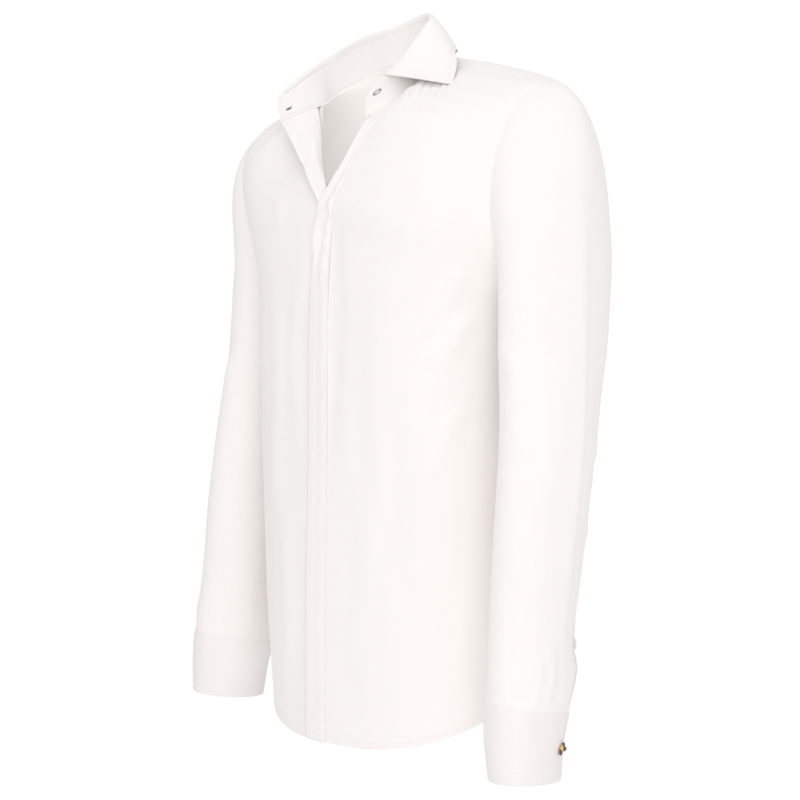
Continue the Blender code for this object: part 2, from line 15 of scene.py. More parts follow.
import bpy
import numpy as np
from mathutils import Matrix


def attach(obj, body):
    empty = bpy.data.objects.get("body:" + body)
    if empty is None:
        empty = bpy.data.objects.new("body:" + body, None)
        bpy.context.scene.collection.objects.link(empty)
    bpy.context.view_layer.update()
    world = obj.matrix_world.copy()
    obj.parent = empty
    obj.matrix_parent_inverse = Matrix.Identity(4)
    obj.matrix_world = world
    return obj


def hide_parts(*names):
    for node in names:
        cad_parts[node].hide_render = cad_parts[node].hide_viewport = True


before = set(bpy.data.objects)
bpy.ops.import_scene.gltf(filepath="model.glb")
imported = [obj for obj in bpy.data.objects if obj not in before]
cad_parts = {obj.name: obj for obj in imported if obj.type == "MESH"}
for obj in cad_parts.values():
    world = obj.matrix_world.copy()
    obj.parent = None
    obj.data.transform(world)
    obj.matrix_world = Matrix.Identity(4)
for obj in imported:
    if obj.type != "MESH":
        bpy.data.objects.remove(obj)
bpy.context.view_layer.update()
print("solids:", sorted(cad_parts))

# %% [markdown]
# ## Camera
#
# The camera stands level with the waist, half turned to the wearer's left.  A lens of about
# 70 mm from 1.7 m away keeps the sleeves in natural proportion.  The shirt could be framed by
# tilting the camera, but a small shift of the lens keeps upright seams upright.

# %% Camera
CAMERA_TURN = math.radians(50)     # from straight in front towards the wearer's left
CAMERA_AWAY = 1.68
CAMERA_Z = -0.26
LENS = 69.4                        # millimetres, on a sensor 36 mm wide
PICTURE = 800                      # pixels across the picture
FRAMING = (-13, -39)               # pixels by which the lens is shifted, across and up

eye = bpy.data.cameras.new("camera")
eye.sensor_width = 36
eye.lens = LENS
eye.shift_x, eye.shift_y = (pixels / PICTURE for pixels in FRAMING)
eye.clip_start = 0.05
eye.clip_end = 50
camera = bpy.data.objects.new("camera", eye)
camera.location = (CAMERA_AWAY * math.sin(CAMERA_TURN), -CAMERA_AWAY * math.cos(CAMERA_TURN), CAMERA_Z)
camera.rotation_euler = (math.pi / 2, 0, CAMERA_TURN)
bpy.context.scene.collection.objects.link(camera)
bpy.context.scene.camera = camera
print("camera at", [round(place, 3) for place in camera.location])

# %% [markdown]
# ## Nodes written as sums
#
# A finish is a small network of nodes.  It could be drawn by hand in the shader editor, but
# written out it can be read and changed.  `Wire` stands for one output of a node, and
# Python's own operators add Math nodes to it, so a pattern reads like a formula.  Every
# other node comes from `Board.node`.

# %% Nodes written as sums
class Wire:
    """One output socket, with arithmetic: each operator adds a Math node."""

    def __init__(self, board, socket):
        self.board = board
        self.socket = socket

    def join(self, operation, a, b=0.0):
        """A Math node on a and b."""
        return self.board.node("ShaderNodeMath", {"operation": operation}, {0: a, 1: b})

    def __add__(self, other):
        return self.join("ADD", self, other)

    def __radd__(self, other):
        return self.join("ADD", other, self)

    def __sub__(self, other):
        return self.join("SUBTRACT", self, other)

    def __rsub__(self, other):
        return self.join("SUBTRACT", other, self)

    def __mul__(self, other):
        return self.join("MULTIPLY", self, other)

    def __rmul__(self, other):
        return self.join("MULTIPLY", other, self)

    def sine(self):
        return self.join("SINE", self)

    def size(self):
        """The value without its sign."""
        return self.join("ABSOLUTE", self)

    def step(self, start, end):
        """Smooth step: 0 up to start, 1 from end on."""
        settings = {"interpolation_type": "SMOOTHSTEP"}
        return self.board.node("ShaderNodeMapRange", settings, {0: self, 1: start, 2: end})


class Board:
    """The node tree of a finish, or of the world, with the shader that it starts from."""

    def __init__(self, owner, shader="Principled BSDF"):
        self.owner = owner
        self.owner.use_nodes = True
        self.tree = self.owner.node_tree
        self.shader = self.tree.nodes[shader]

    def node(self, kind, settings=None, inputs=None, output=0):
        """A node of any kind: its settings first, then its inputs, as values or wires."""
        made = self.tree.nodes.new(kind)
        for name, value in (settings or {}).items():
            setattr(made, name, value)
        for name, value in (inputs or {}).items():
            self.plug(made.inputs[name], value)
        return Wire(self, made.outputs[output])

    def noise(self, place, scale, detail, **more):
        """Cloudy noise, about .5, read at a place; scale is in lumps to a metre."""
        inputs = {"Vector": place, "Scale": scale, "Detail": detail, **more}
        return self.node("ShaderNodeTexNoise", None, inputs)

    def plug(self, socket, value):
        """Join a wire to a socket, or set the socket to a value."""
        if isinstance(value, Wire):
            self.tree.links.new(value.socket, socket)
        else:
            socket.default_value = value

    def give(self, **inputs):
        """Set the shader's own inputs: Base_Color=..., Roughness=..."""
        for name, value in inputs.items():
            self.plug(self.shader.inputs[name.replace("_", " ")], value)

    def mix(self, share, a, b):
        """Colour a where share is 0, colour b where it is 1."""
        return self.node("ShaderNodeMix", {"data_type": "RGBA"}, {0: share, 6: a, 7: b}, output=2)


# %% [markdown]
# ## White shirting
#
# Shirting is a fine twill: each yarn is about half a millimetre across, and the crossings
# step sideways from one row to the next, which draws faint diagonals.  The weave could be an
# image, but three sine waves, nudged by noise, show no tiles and stay sharp at any size.  Each
# piece of cloth carries its own map, in metres along and across the piece, so the weave follows
# the cut and turns at the seams.  The yarns only tilt the surface, through a Bump node.
#
# Two attributes tell the finish where it is.  `seam` is the distance to the nearest line of
# stitches: beside it the cloth is drawn in and puckers, and a little further away the edge
# that is turned under shows as a faint line, a small dip in the bump and painted shade in the
# colour.  `rim` is the distance to a folded edge, along which the colour is darkened as a
# painted shadow.  Cuffs and collar are fused, so they pucker less, and the cuffs are pressed to
# a slight shine; their colour is also a little darker, as painted shade.

# %% White shirting
YARN = 0.00055            # metres from yarn to yarn
TWILL = 4 * YARN          # metres from diagonal to diagonal
WEAVE = 0.16              # strength of the yarns' bump
YARN_DEPTH = 0.00012
PUCKER_DEPTH = 0.0016
TURNED_UNDER = 0.0055     # from the stitches to the edge that is turned under
WHITE = (.905, .880, .862)


def darker(colour, share):
    """The colour, less a share of its light, with its alpha."""
    return tuple(part * (1 - share) for part in colour) + (1.0,)


def shirting(name, colour, pucker=.5, fold=False, gloss=0.0):
    """White twill.

    Yarns: sin(2 pi across / YARN), the same along, and sin(2 pi (across + along) / TWILL) for
    the diagonals, each set a little out of step by noise.
    pucker: strength of the ripples beside the stitches.  fold: paint a shadow along the folded edge.
    gloss: 0 for washed cloth, 1 for cloth pressed to a shine.
    """
    board = Board(bpy.data.materials.new(name))
    place = board.node("ShaderNodeUVMap", {"uv_map": "cloth"})
    across, along = [board.node("ShaderNodeSeparateXYZ", None, {0: place}, output=axis)
                     for axis in (0, 1)]
    drift = board.noise(place, 420., 1.)
    warp = (across * (2 * math.pi / YARN) + drift * 7).sine()
    weft = (along * (2 * math.pi / YARN) + drift * 6).sine()
    twill = ((across + along) * (2 * math.pi / TWILL) + drift * 5).sine()
    cloth = warp * .3 + weft * .3 + twill * .7
    where = board.node("ShaderNodeTexCoord", None, None, output=3)
    slub = board.noise(where, 900., 2.)
    seam = board.node("ShaderNodeAttribute", {"attribute_name": "seam"}, None, output=2)
    ripple = board.noise(where, 95., 3., Roughness=.55)
    near = 1 - seam.step(.002, .016)
    groove = 1 - (seam - TURNED_UNDER).size().step(.0002, .0011)
    soft = board.noise(where, 16., 4.)
    wide = board.node("ShaderNodeBump", None,
                      {"Strength": pucker, "Distance": PUCKER_DEPTH,
                       "Height": ripple * near * .8 - groove * .16 + soft * .40})
    fine = board.node("ShaderNodeBump", None,
                      {"Strength": WEAVE, "Distance": YARN_DEPTH, "Height": cloth + slub,
                       "Normal": wide})
    tone = board.noise(where, 7., 3.)
    # The colour: random tone, and painted shade along the turned-under line (groove)
    shade = board.mix(tone.step(.35, .75) * .35 + groove * .10, colour + (1.0,), darker(colour, .035))
    # Painted shadow: near a folded edge the colour darkens towards (.50, .47, .46)
    if fold:
        rim = board.node("ShaderNodeAttribute", {"attribute_name": "rim"}, None, output=2)
        shade = board.mix((1 - rim.step(.0007, .0024)) * .45, shade, (.50, .47, .46, 1))
    board.give(Base_Color=shade, Roughness=.86 - gloss * .42 + slub * .06, Normal=fine,
               Sheen_Weight=.18, Sheen_Roughness=.5, Specular_IOR_Level=.30 + gloss * .5)
    return board.owner


white_cloth = shirting("white twill shirting", WHITE)
fold_shadow_cloth = shirting("white twill, painted shadow at folded edge", (.905, .876, .874), fold=True)
fused_cloth = shirting("white twill, fused", WHITE, pucker=.22)
# The cuffs' colour is darker than WHITE: painted shade for the rounded cuffs; their shine is real gloss
cuff_cloth = shirting("white twill, fused and pressed, painted shade", (.870, .842, .829), pucker=.22, gloss=1.0)
print("finishes of cloth:", [cloth.name for cloth in (white_cloth, fold_shadow_cloth, fused_cloth, cuff_cloth)])

# %% [markdown]
# ## Finishes of thread, buttons and links
#
# Sewing thread is matt, the buttons are a glossy plastic, and the links are polished brass
# with enamel.  At their size each needs only one colour with a fine grain in it, so one
# function makes them all.

# %% Finishes of thread, buttons and links
def plain(name, colour, roughness, metallic=0.0, grain=.08, scale=400.0, coat=0.0):
    """One colour with a fine uneven grain in it and in its roughness."""
    board = Board(bpy.data.materials.new(name))
    noise = board.noise(board.node("ShaderNodeTexCoord", None, None, output=3), scale, 3.)
    board.give(Base_Color=board.mix(noise, colour + (1.0,), darker(colour, grain)),
               Roughness=roughness + noise * .08, Metallic=metallic, Coat_Weight=coat)
    return board.owner


thread = plain("white thread", (.90, .88, .86), .70)
dark_thread_and_hole_shade = plain("black thread, and painted shade in button holes", (.035, .030, .032), .75, grain=.3)
pale_thread = plain("pale thread", (.56, .52, .51), .72)
grey_thread = plain("grey thread", (.27, .25, .24), .75, grain=.3)
button_white = plain("white button", (.86, .84, .78), .28, scale=120.0, coat=.4)
gilt = plain("gilt brass", (.88, .66, .34), .22, metallic=1.0)
enamel = plain("red brown enamel", (.15, .040, .034), .20, scale=250.0, grain=.35, coat=.6)

# %% [markdown]
# ## Curves and grids
#
# Every piece of cloth is a grid of points, worked out as a whole array.  It could be modelled
# from a coarse cage, but a formula puts each edge just where the next piece needs it.
# `through` draws a smooth line through the rows of a small table, and `bezier` draws a cubic
# between two points.

# %% Curves and grids
# Metres from a seam or a hem at which grid lines lie, close enough to draw a rolled edge
CLOSE_LINES = np.array([.0005, .0011, .0018, .0038, .0046, .0052, .0058, .0064, .0070, .0078])


def table(columns, *rows):
    """A small table: one array for each named column."""
    return dict(zip(columns.split(), np.array(rows, dtype=float).T))


def point(columns, stem=""):
    """Three columns of a table as an array of points."""
    return np.stack([columns[stem + axis] for axis in "xyz"], axis=-1)


def through(knots, values, at):
    """Smooth curve through the values.

    In each span it is a cubic whose slopes at both ends come from the neighbouring values.
    """
    knots = np.asarray(knots, float)
    values = np.asarray(values, float).reshape(len(knots), -1)
    at = np.asarray(at, float)
    slope = np.gradient(values, knots, axis=0)
    i = np.clip(np.searchsorted(knots, at, side="right") - 1, 0, len(knots) - 2)
    span = (knots[i + 1] - knots[i])[:, None]
    s = (at - knots[i])[:, None] / span
    start = values[i] * (1 + 2 * s) * (1 - s) ** 2 + slope[i] * span * s * (1 - s) ** 2
    end = values[i + 1] * (3 - 2 * s) * s ** 2 + slope[i + 1] * span * (s - 1) * s ** 2
    return start + end


def along(columns, knot, names, at):
    """Named columns of a table, read along its knot column at the given places."""
    values = np.stack([columns[name] for name in names.split()], axis=-1)
    result = through(columns[knot], values, at)
    return [result[:, k] for k in range(result.shape[1])]


def bezier(p0, p1, p2, p3, t):
    """Cubic from p0 to p3, leaving towards p1 and arriving from p2."""
    return (1 - t) ** 3 * p0 + 3 * (1 - t) ** 2 * t * p1 + 3 * (1 - t) * t ** 2 * p2 + t ** 3 * p3


def unit(vectors):
    """The same directions, each of length 1."""
    return vectors / np.maximum(np.linalg.norm(vectors, axis=-1, keepdims=True), 1e-12)


def smooth(x, start, end):
    """0 at start and before, 1 at end and past it, with no corner."""
    s = np.clip((x - start) / (end - start), 0, 1)
    return s * s * (3 - 2 * s)


def mirrored(points):
    """The points on the wearer's other side."""
    return points * np.array([-1.0, 1.0, 1.0])


def places(length, pitch, low=True, high=True):
    """Where the grid lines lie on a run of this length, as parts of it.

    They are a pitch apart, and at CLOSE_LINES beside an end that has a seam or a hem.
    """
    even = np.linspace(0, 1, int(round(length / pitch)) + 1)
    close = CLOSE_LINES / length
    extra = [close] * low + [1 - close] * high
    return np.unique(np.concatenate([even] + extra))


# %% [markdown]
# ## Sizes of the shirt
#
# The wearer faces -Y and the wearer's left is +X, in metres from the middle of the shoulders.
# A shirt is drafted from a few measures, such as shoulder width, placket and cuff.  They are
# the same as those of the plain solids, so each piece of cloth lies where its solid lies.

# %% Sizes of the shirt
SHOULDER_X = 0.220
PLACKET_WIDTH = 0.034
CUFF_HEIGHT = 0.066
CUFF_BOTTOM_Z = -0.650
CUFF_EASE = 0.0012                 # by which the cuff stands off the sleeve
CUFF_OVERLAP = math.radians(36)
CUFF_OPENING = math.radians(337)   # turns round the wrist: 0 outside, 90 degrees front
SLEEVE_RING_Z = -0.250             # where the sleeve's head ends and its tube begins
CARRY = (-0.013, -0.018, 0.003)    # by which the right shoulder is carried
RIGHT_SWAY = 0.007                 # by which the right upper arm lies further back
BUTTON_TURN = math.radians(309)
BUTTON_Z = -0.527
LINK_Z = -0.620
EACH_SIDE = (("left", 1), ("right", -1))    # and the sign of its x
# The solids' grids, which give these pieces their pattern: counts of columns and rows
ARMHOLE_FRONT = 11                 # rows from the armpit to the yoke, on a front
ARMHOLE_BACK = 9                   # and on the back
FRONT_COLUMNS = 9
NECK_FRONT = 4                     # stations of the collar's table along each front
NECK_BACK = 10                     # and along the yoke
print(f"shoulders {2 * SHOULDER_X} m wide, cuffs {CUFF_HEIGHT} m high")

# %% [markdown]
# ### The lines that the shirt is drafted on
#
# A pattern cutter draws a few curves and cuts along them.  Each table here is one of those
# curves, or the way in which the cloth leaves one and reaches the next.  A row is a place along
# it, such as a level of the body or a station of the collar, and a smooth line runs through
# the rows.  One formula could give an even shirt, but rows set one by one give a worn one.

# %% The lines that the shirt is drafted on
COLLAR = table("station x y z fold_x fold_y fold_z",
               (0, .045, -.095, -.007, .043, -.097, .017),
               (1, .054, -.080, .004, .050, -.079, .034),
               (2, .062, -.062, .018, .057, -.064, .050),
               (3, .068, -.040, .035, .061, -.047, .073),
               (4, .069, -.018, .051, .058, -.028, .0935),
               (6.5, .046, .018, .066, .032, -.001, .1035),
               (9, .000, .034, .076, .000, .019, .1195),
               (11.5, -.048, .019, .070, -.043, .010, .111),
               (14, -.069, -.018, .052, -.066, -.023, .0965),
               (16, -.070, -.050, .034, -.077, -.055, .0750),
               (18, -.067, -.073, .019, -.086, -.079, .0575),
               (19.5, -.081, -.0935, .010, -.0955, -.0965, .0415),
               (21, -.102, -.1035, .003, -.1045, -.1095, .0285))
LEAF_EDGE = table("station x y z",
                  (1, .1205, -.0490, .0192),
                  (2, .106, -.031, .040),
                  (4, .080, -.010, .063),
                  (6.5, .0495, .0205, .072),
                  (9, .000, .044, .072),
                  (11.5, -.060, .030, .072),
                  (14, -.098, -.006, .064),
                  (16, -.120, -.026, .056),
                  (18, -.140, -.038, .048),
                  (20, -.156, -.046, .042))
LEFT_EDGE = table("level x y z",
                  (0.00, -.017, -.131, -.650),
                  (0.30, -.017, -.131, -.520),
                  (0.60, -.017, -.128, -.370),
                  (1.00, -.017, -.126, -.205),
                  (1.20, -.014, -.124, -.135),
                  (1.30, -.004, -.125, -.098),
                  (1.36, .008, -.121, -.080),
                  (1.48, .025, -.112, -.052))
RIGHT_EDGE = table("level x y z",
                   (0.00, .013, -.1285, -.653),
                   (0.30, .013, -.1285, -.523),
                   (0.60, .013, -.1255, -.370),
                   (1.00, .013, -.1235, -.205),
                   (1.20, .014, -.1215, -.135),
                   (1.32, .006, -.119, -.092),
                   (1.40, -.014, -.109, -.066),
                   (1.52, -.042, -.091, -.030))
NECK_LEVEL = 1 + (ARMHOLE_FRONT - NECK_FRONT) / ARMHOLE_FRONT
FACING_EDGE = table("rise x y z",
                    (-.17, .0035, -.1236, -.106),
                    (0, -.004, -.1250, -.094),
                    (.45, -.054, -.1135, -.042),
                    (1, -.102, -.1035, .003))
FRONT_SHAPE = table("level out out_y out_rise side wrap side_rise",
                    (0.00, .58, .000, -.008, .000, .086, -.048),
                    (0.15, .64, .000, -.003, .000, .092, -.034),
                    (0.40, .71, -.001, .000, .000, .094, -.010),
                    (0.70, .77, -.002, .000, .000, .099, .000),
                    (1.00, .76, -.005, .000, .004, .096, .002),
                    (1.25, .66, -.008, -.010, .022, .060, .006),
                    (1.55, .50, -.013, -.012, .046, .036, .016),
                    (1.80, .42, -.010, -.018, .048, .018, .013),
                    (2.00, .30, -.003, -.015, .040, .004, .015))
SIDE_SEAM = table("level x y z",
                  (0.00, .178, .000, -.589),
                  (0.25, .180, .001, -.505),
                  (0.55, .182, .001, -.375),
                  (0.80, .184, .002, -.280),
                  (1.00, .191, .003, -.205))
BACK_SHAPE = table("level y z out wrap side_rise",
                   (0.00, .108, -.662, .74, .078, -.060),
                   (0.20, .106, -.570, .74, .076, -.030),
                   (0.55, .096, -.390, .74, .072, -.004),
                   (0.80, .102, -.290, .74, .076, .000),
                   (1.00, .110, -.205, .74, .078, .000),
                   (1.40, .118, -.115, .62, .048, .006),
                   (1.75, .110, -.040, .56, .034, .008),
                   (2.00, .094, -.002, .50, .026, .010))
ARMHOLE = table("angle x",
                (0, SHOULDER_X), (30, .212), (60, .206), (90, .200), (135, .193), (180, .191),
                (225, .188), (270, .190), (315, .204), (360, SHOULDER_X))
SLEEVE = table("down x y half_x half_y turn",
               (.250, .2365, -.024, .0415, .0585, 0),
               (.330, .2440, -.036, .0405, .0530, 4),
               (.430, .2450, -.050, .0395, .0480, 10),
               (.530, .2460, -.062, .0370, .0460, 16),
               (.558, .2475, -.0635, .0370, .0485, 18),
               (.585, .2478, -.068, .0357, .0450, 20),
               (.600, .2480, -.071, .0350, .0440, 20),
               (.650, .2510, -.0745, .0305, .0398, 22))
YOKE_FRONT_ANGLE = 12              # degrees round the armhole at which the yoke's seams end
YOKE_BACK_ANGLE = 309
YOKE_FULLNESS = 0.45               # how far the yoke's lines keep straight, as part of its depth
OVER_SHOULDER = np.array([.30, .90, .30])    # the way of those lines over the shoulder
print("collar stations:", len(COLLAR["station"]), " sleeve rings:", len(SLEEVE["down"]))

# %% [markdown]
# ## Lines shared by the pieces
#
# A seam is one line that two pieces share.  Each piece could have its own copy, but then the
# copies drift apart.  So the neckline, the fold of the collar and the armhole are written
# once, and every piece that is sewn there takes its edge from them.

# %% Lines shared by the pieces
ARMHOLE_Y = .003                   # the armhole's middle
ARMHOLE_Z = -.0955
ARMHOLE_RISE = .1095               # half its height
ARMHOLE_FORE = .074                # half its depth, in front
ARMHOLE_AFT = .056                 # and behind


def carried(points):
    """The right shoulder is carried a little forward and out; the rest stays put."""
    share = smooth(points[..., 2], -.16, 0) * smooth(points[..., 0], -.08, -.19)
    return points + share[..., None] * np.array(CARRY)


def neckline(station):
    """The seam of the collar: a smooth line through its stations."""
    return through(COLLAR["station"], point(COLLAR), station)


def fold_line(station):
    """The line on which the collar's leaf folds over its stand."""
    return through(COLLAR["station"], point(COLLAR, "fold_"), station)


def armhole(angle):
    """Left armhole: an upright oval, deeper in front, from the shoulder point (0 degrees)
    round the front (90) and the armpit (180) to the back (270)."""
    turn = np.radians(angle)
    depth = np.where(np.sin(turn) > 0, ARMHOLE_FORE, ARMHOLE_AFT)
    y = ARMHOLE_Y - depth * np.sin(turn)
    z = ARMHOLE_Z + ARMHOLE_RISE * np.cos(turn)
    (x,) = along(ARMHOLE, "angle", "x", angle)
    return np.stack([x, y, z], axis=-1)


shoulder_point, armpit = armhole(np.array([0, 180]))
print("armhole from", shoulder_point.round(3), "to", armpit.round(3))


# %% [markdown]
# ## A cut piece
#
# Cloth is cut flat, so it has a width and a length of its own wherever it hangs.  `Piece`
# holds a grid of points and, at each, the way out of the cloth, which is the cross product of
# the grid's two directions.  It also measures the cloth: how far each point lies along and
# across the piece, and from each of its four edges.  `rung` is the row's place in the
# pattern, such as 0 at the hem, 1 at the armpit and 2 at the yoke.  Blender could measure a
# finished mesh, but a grid that keeps its rows and columns makes seams simple.

# %% A cut piece
FAR = .08                          # metres from a seam at which it no longer matters
LOWEST = -9                        # rungs below and above all rows
HIGHEST = 9


class Piece:
    """A grid of points (rows, columns, 3) with the way out of the cloth at each point.

    outward: 1 or -1, the side of the grid that is the outside.  rung: each row's place.
    closed: the last column lies on the first, as on a sleeve.
    """

    def __init__(self, points, outward, rung=None, closed=False):
        self.points = points
        self.outward = outward
        self.closed = closed
        self.rung = np.linspace(0, 1, len(points)) if rung is None else rung
        self.face()
        self.measure()

    def face(self):
        """The way out: cross product of the steps across and along the grid."""
        points = self.points
        across = np.gradient(points, axis=1)
        if self.closed:
            across[:, 0] = across[:, -1] = points[:, 1] - points[:, -2]
        self.out = unit(np.cross(across, np.gradient(points, axis=0))) * self.outward

    def measure(self):
        """Lengths along the grid lines, and distances from the four edges."""
        steps = np.linalg.norm(np.diff(self.points, axis=1), axis=-1)
        rises = np.linalg.norm(np.diff(self.points, axis=0), axis=-1)
        self.across = np.pad(np.cumsum(steps, axis=1), ((0, 0), (1, 0)))
        self.along = np.pad(np.cumsum(rises, axis=0), ((1, 0), (0, 0)))
        self.edges = {"left": self.across, "right": self.across[:, -1:] - self.across,
                      "low": self.along, "high": self.along[-1:] - self.along}

    def from_edges(self, names):
        """Distance to the nearest of the named edges."""
        far = np.full(self.across.shape, FAR)
        for name in names.split():
            far = np.minimum(far, self.edges[name])
        return far

    def push(self, height):
        """Move the cloth along its way out by a height at each point."""
        self.points = self.points + self.out * height[..., None]
        self.face()

    def crease(self, height, edges, reach=.018):
        """Push the piece by its creases, which die out towards the named edges."""
        self.push(height * smooth(self.from_edges(edges), 0, reach))

    def soften(self, rung, width, times=24):
        """Even out the rows near one rung, as each row moves towards its neighbours."""
        share = np.exp(-((self.rung[1:-1] - rung) / width) ** 2)[:, None]
        fade = smooth(np.minimum(self.edges["left"], self.edges["right"])[1:-1], .004, .030)
        if share.max() > 0:
            for _ in range(times):
                middle = (self.points[:-2] + self.points[2:]) / 2
                self.points[1:-1] += (share * fade)[..., None] * .5 * (middle - self.points[1:-1])
        self.face()
        self.measure()

    def between(self, low, high):
        """1 on the rows whose rung lies between low and high, else 0."""
        return ((self.rung >= low - 1e-6) & (self.rung <= high + 1e-6))[:, None]

    def lap(self, edge, width, low=LOWEST, high=HIGHEST, layer=.0003):
        """Height of a second layer that lies along an edge, turned under and sewn down."""
        flat = 1 - smooth(self.edges[edge], width, width + .0010)
        return layer * flat * self.between(low, high)

    def seam_line(self, edge, inset, low=LOWEST, high=HIGHEST):
        """Points and ways out along the line that lies this far inside an edge."""
        far, grids = self.edges[edge], (self.points, self.out)
        if edge in ("left", "right"):
            keep = self.between(low, high)[:, 0]
            far = far[keep].T
            grids = [grid[keep].transpose(1, 0, 2) for grid in grids]
        if edge in ("right", "high"):
            far = far[::-1]
            grids = [grid[::-1] for grid in grids]
        i = np.clip((far < inset).sum(axis=0), 1, len(far) - 1)
        j = np.arange(far.shape[1])
        share = ((inset - far[i - 1, j]) / (far[i, j] - far[i - 1, j]))[:, None]
        return [grid[i - 1, j] * (1 - share) + grid[i, j] * share for grid in grids]

    def area(self):
        """Sum over the cells of half the cross product of their diagonals."""
        a = self.points[1:, 1:] - self.points[:-1, :-1]
        b = self.points[1:, :-1] - self.points[:-1, 1:]
        return float(np.linalg.norm(np.cross(a, b), axis=-1).sum() / 2)


# %% [markdown]
# ## Creases
#
# Ironed cotton is smooth, with a few long soft creases where the arm and the waist bend.
# Noise would give creases anywhere, but real ones start from a seam or a bend.  So each is
# placed as one row of a table: a line from one spot to another, its width, its
# height, and how far it bows sideways.  Across the line the cloth rises as a bell curve, with
# a shallow trough on one side.

# %% Creases
def creases(x, y, rows):
    """Sum of the creases at the places (x, y).  A row holds the start's x and y, the end's x
    and y, the width, the height and the bow, all in metres.

    Height of one crease: h * (exp(-(w/width)^2) - 0.5 exp(-((w - 1.9 width)/(1.2 width))^2)),
    faded to nothing at both ends, where w is the distance to the bowed line.
    """
    total = 0 * x
    for x0, y0, x1, y1, width, height, bow in rows:
        length = math.hypot(x1 - x0, y1 - y0)
        tx, ty = (x1 - x0) / length, (y1 - y0) / length
        s = ((x - x0) * tx + (y - y0) * ty) / length
        w = (x - x0) * ty - (y - y0) * tx - bow * np.sin(math.pi * np.clip(s, 0, 1))
        w = w + width * .25 * np.sin(s * 9 + x0 * 70)
        ends = smooth(s, -.05, .30) * smooth(s, 1.05, .70)
        bell = np.exp(-(w / width) ** 2) - .5 * np.exp(-((w - 1.9 * width) / (1.2 * width)) ** 2)
        total = total + height * ends * bell
    return total


# %% [markdown]
# ## Thread
#
# A row of machine stitches is a row of short rounded bars of thread, half sunk in the cloth.
# It could be painted as a dashed line, but real bars catch the light and cast small shadows.
# One bar is a small capsule; numpy copies it along every seam line at once, and all the bars
# of a piece become one mesh.

# %% Thread
STITCH_PITCH = 0.0032
STITCH_LENGTH = 0.0025
THREAD_RADIUS = 0.00015
SIDES = 6                          # of a bar of thread


def show(mesh, finish, node=None, sharp=None):
    """Put a mesh in the scene, with its finish, in place of a plain solid if it has
    one.  sharp: the angle in degrees from which an edge between faces stays crisp."""
    mesh.shade_smooth()
    if sharp:
        mesh.set_sharp_from_angle(angle=math.radians(sharp))
    mesh.materials.append(finish)
    obj = bpy.data.objects.new(mesh.name, mesh)
    bpy.context.scene.collection.objects.link(obj)
    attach(obj, "root")
    if node:
        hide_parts(node)
    return obj


def capsule():
    """Points and faces of one stitch along X, of length 1 and radius 1: a tip, three rings
    with SIDES points each, and the other tip."""
    ring = np.radians(np.arange(0, 360, 360 // SIDES))
    rows = [np.stack([0 * ring + x, r * np.cos(ring), r * np.sin(ring)], axis=-1)
            for x, r in ((-.40, .8), (0, 1), (.40, .8))]
    points = np.vstack([[-.5, 0, 0]] + rows + [[.5, 0, 0]])
    i = np.arange(SIDES)
    j = (i + 1) % SIDES
    first, middle, last, tip = 1 + SIDES * np.arange(4)
    tips = [np.stack([0 * i, first + j, first + i], -1), np.stack([0 * i + tip, last + i, last + j], -1)]
    walls = [np.stack([a + i, a + j, a + SIDES + j, a + SIDES + i], -1) for a in (first, middle)]
    return points, [face.tolist() for block in tips + walls for face in block]


def bars(name, centre, along_way, out, length, radius, finish, slot="shirting"):
    """One mesh of capsules: each has a centre, a direction and a way out of the cloth."""
    points, faces = capsule()
    along_way = unit(along_way - out * (along_way * out).sum(-1, keepdims=True))
    side = np.cross(out, along_way)
    length = np.broadcast_to(length, len(centre))[:, None, None]
    grid = (centre[:, None] + along_way[:, None] * points[None, :, :1] * length
            + (side[:, None] * points[None, :, 1:2] + out[:, None] * points[None, :, 2:]) * radius)
    steps = (np.arange(len(centre)) * len(points)).tolist()
    mesh = bpy.data.meshes.new(name)
    mesh.from_pydata(grid.reshape(-1, 3).tolist(), [],
                     [[v + step for v in face] for step in steps for face in faces])
    print(f"{name}: {len(centre)} bars of thread")
    show(mesh, finish)


def sew(name, stitches, finish):
    """Lay the stitches, which are rows of centres, directions and ways out."""
    bars(name, *stitches, STITCH_LENGTH, THREAD_RADIUS, finish)


def stitched(path, out, lift):
    """Centres, directions and ways out of the stitches along a line on the cloth: one each
    STITCH_PITCH of the way, lifted off the line."""
    steps = np.linalg.norm(np.diff(path, axis=0), axis=1)
    length = np.concatenate([[0], np.cumsum(steps)])
    at = np.arange(STITCH_PITCH, length[-1] - STITCH_PITCH / 2, STITCH_PITCH)
    if len(at) == 0:
        return np.zeros((3, 0, 3))
    centre, way = [np.stack([np.interp(at, length, part[:, k]) for k in range(3)], -1)
                   for part in (path, out)]
    way = unit(way)
    ahead = np.stack([np.interp(at + .001, length, path[:, k]) for k in range(3)], -1)
    return np.stack([centre + way * lift, ahead - centre, way])


# %% [markdown]
# ## Making the cloth
#
# Woven cotton is under a millimetre thick, yet its edges show. A Solidify modifier could give
# it that wall, but here the wall also changes along a piece, where an edge is turned under. So
# `lay_cloth` makes both faces from the same grid and joins them round the rim.

# %% Making the cloth
CLOTH = 0.0007
LEAST_AREA = .31                   # of width x length, the least area that lay_cloth works out for a piece


def wall_faces(rows, columns):
    """Faces of a wall between two grids of points: outer skin, inner skin and rim."""
    count = rows * columns
    index = np.arange(count).reshape(rows, columns)
    a, b, c, d = index[:-1, :-1], index[:-1, 1:], index[1:, 1:], index[1:, :-1]
    skin = np.stack([a, b, c, d], -1).reshape(-1, 4)
    start = np.concatenate([index[0, :-1], index[:-1, -1], index[-1, :0:-1], index[:0:-1, 0]])
    end = np.roll(start, -1)
    sides = np.stack([start, start + count, end + count, end], -1)
    return np.concatenate([skin, skin[:, ::-1] + count, sides])


def note(mesh, name, values):
    """Store a number for each point of the grid, the same on both faces of the wall."""
    mesh.attributes.new(name, "FLOAT", "POINT").data.foreach_set("value", np.tile(values.ravel(), 2))


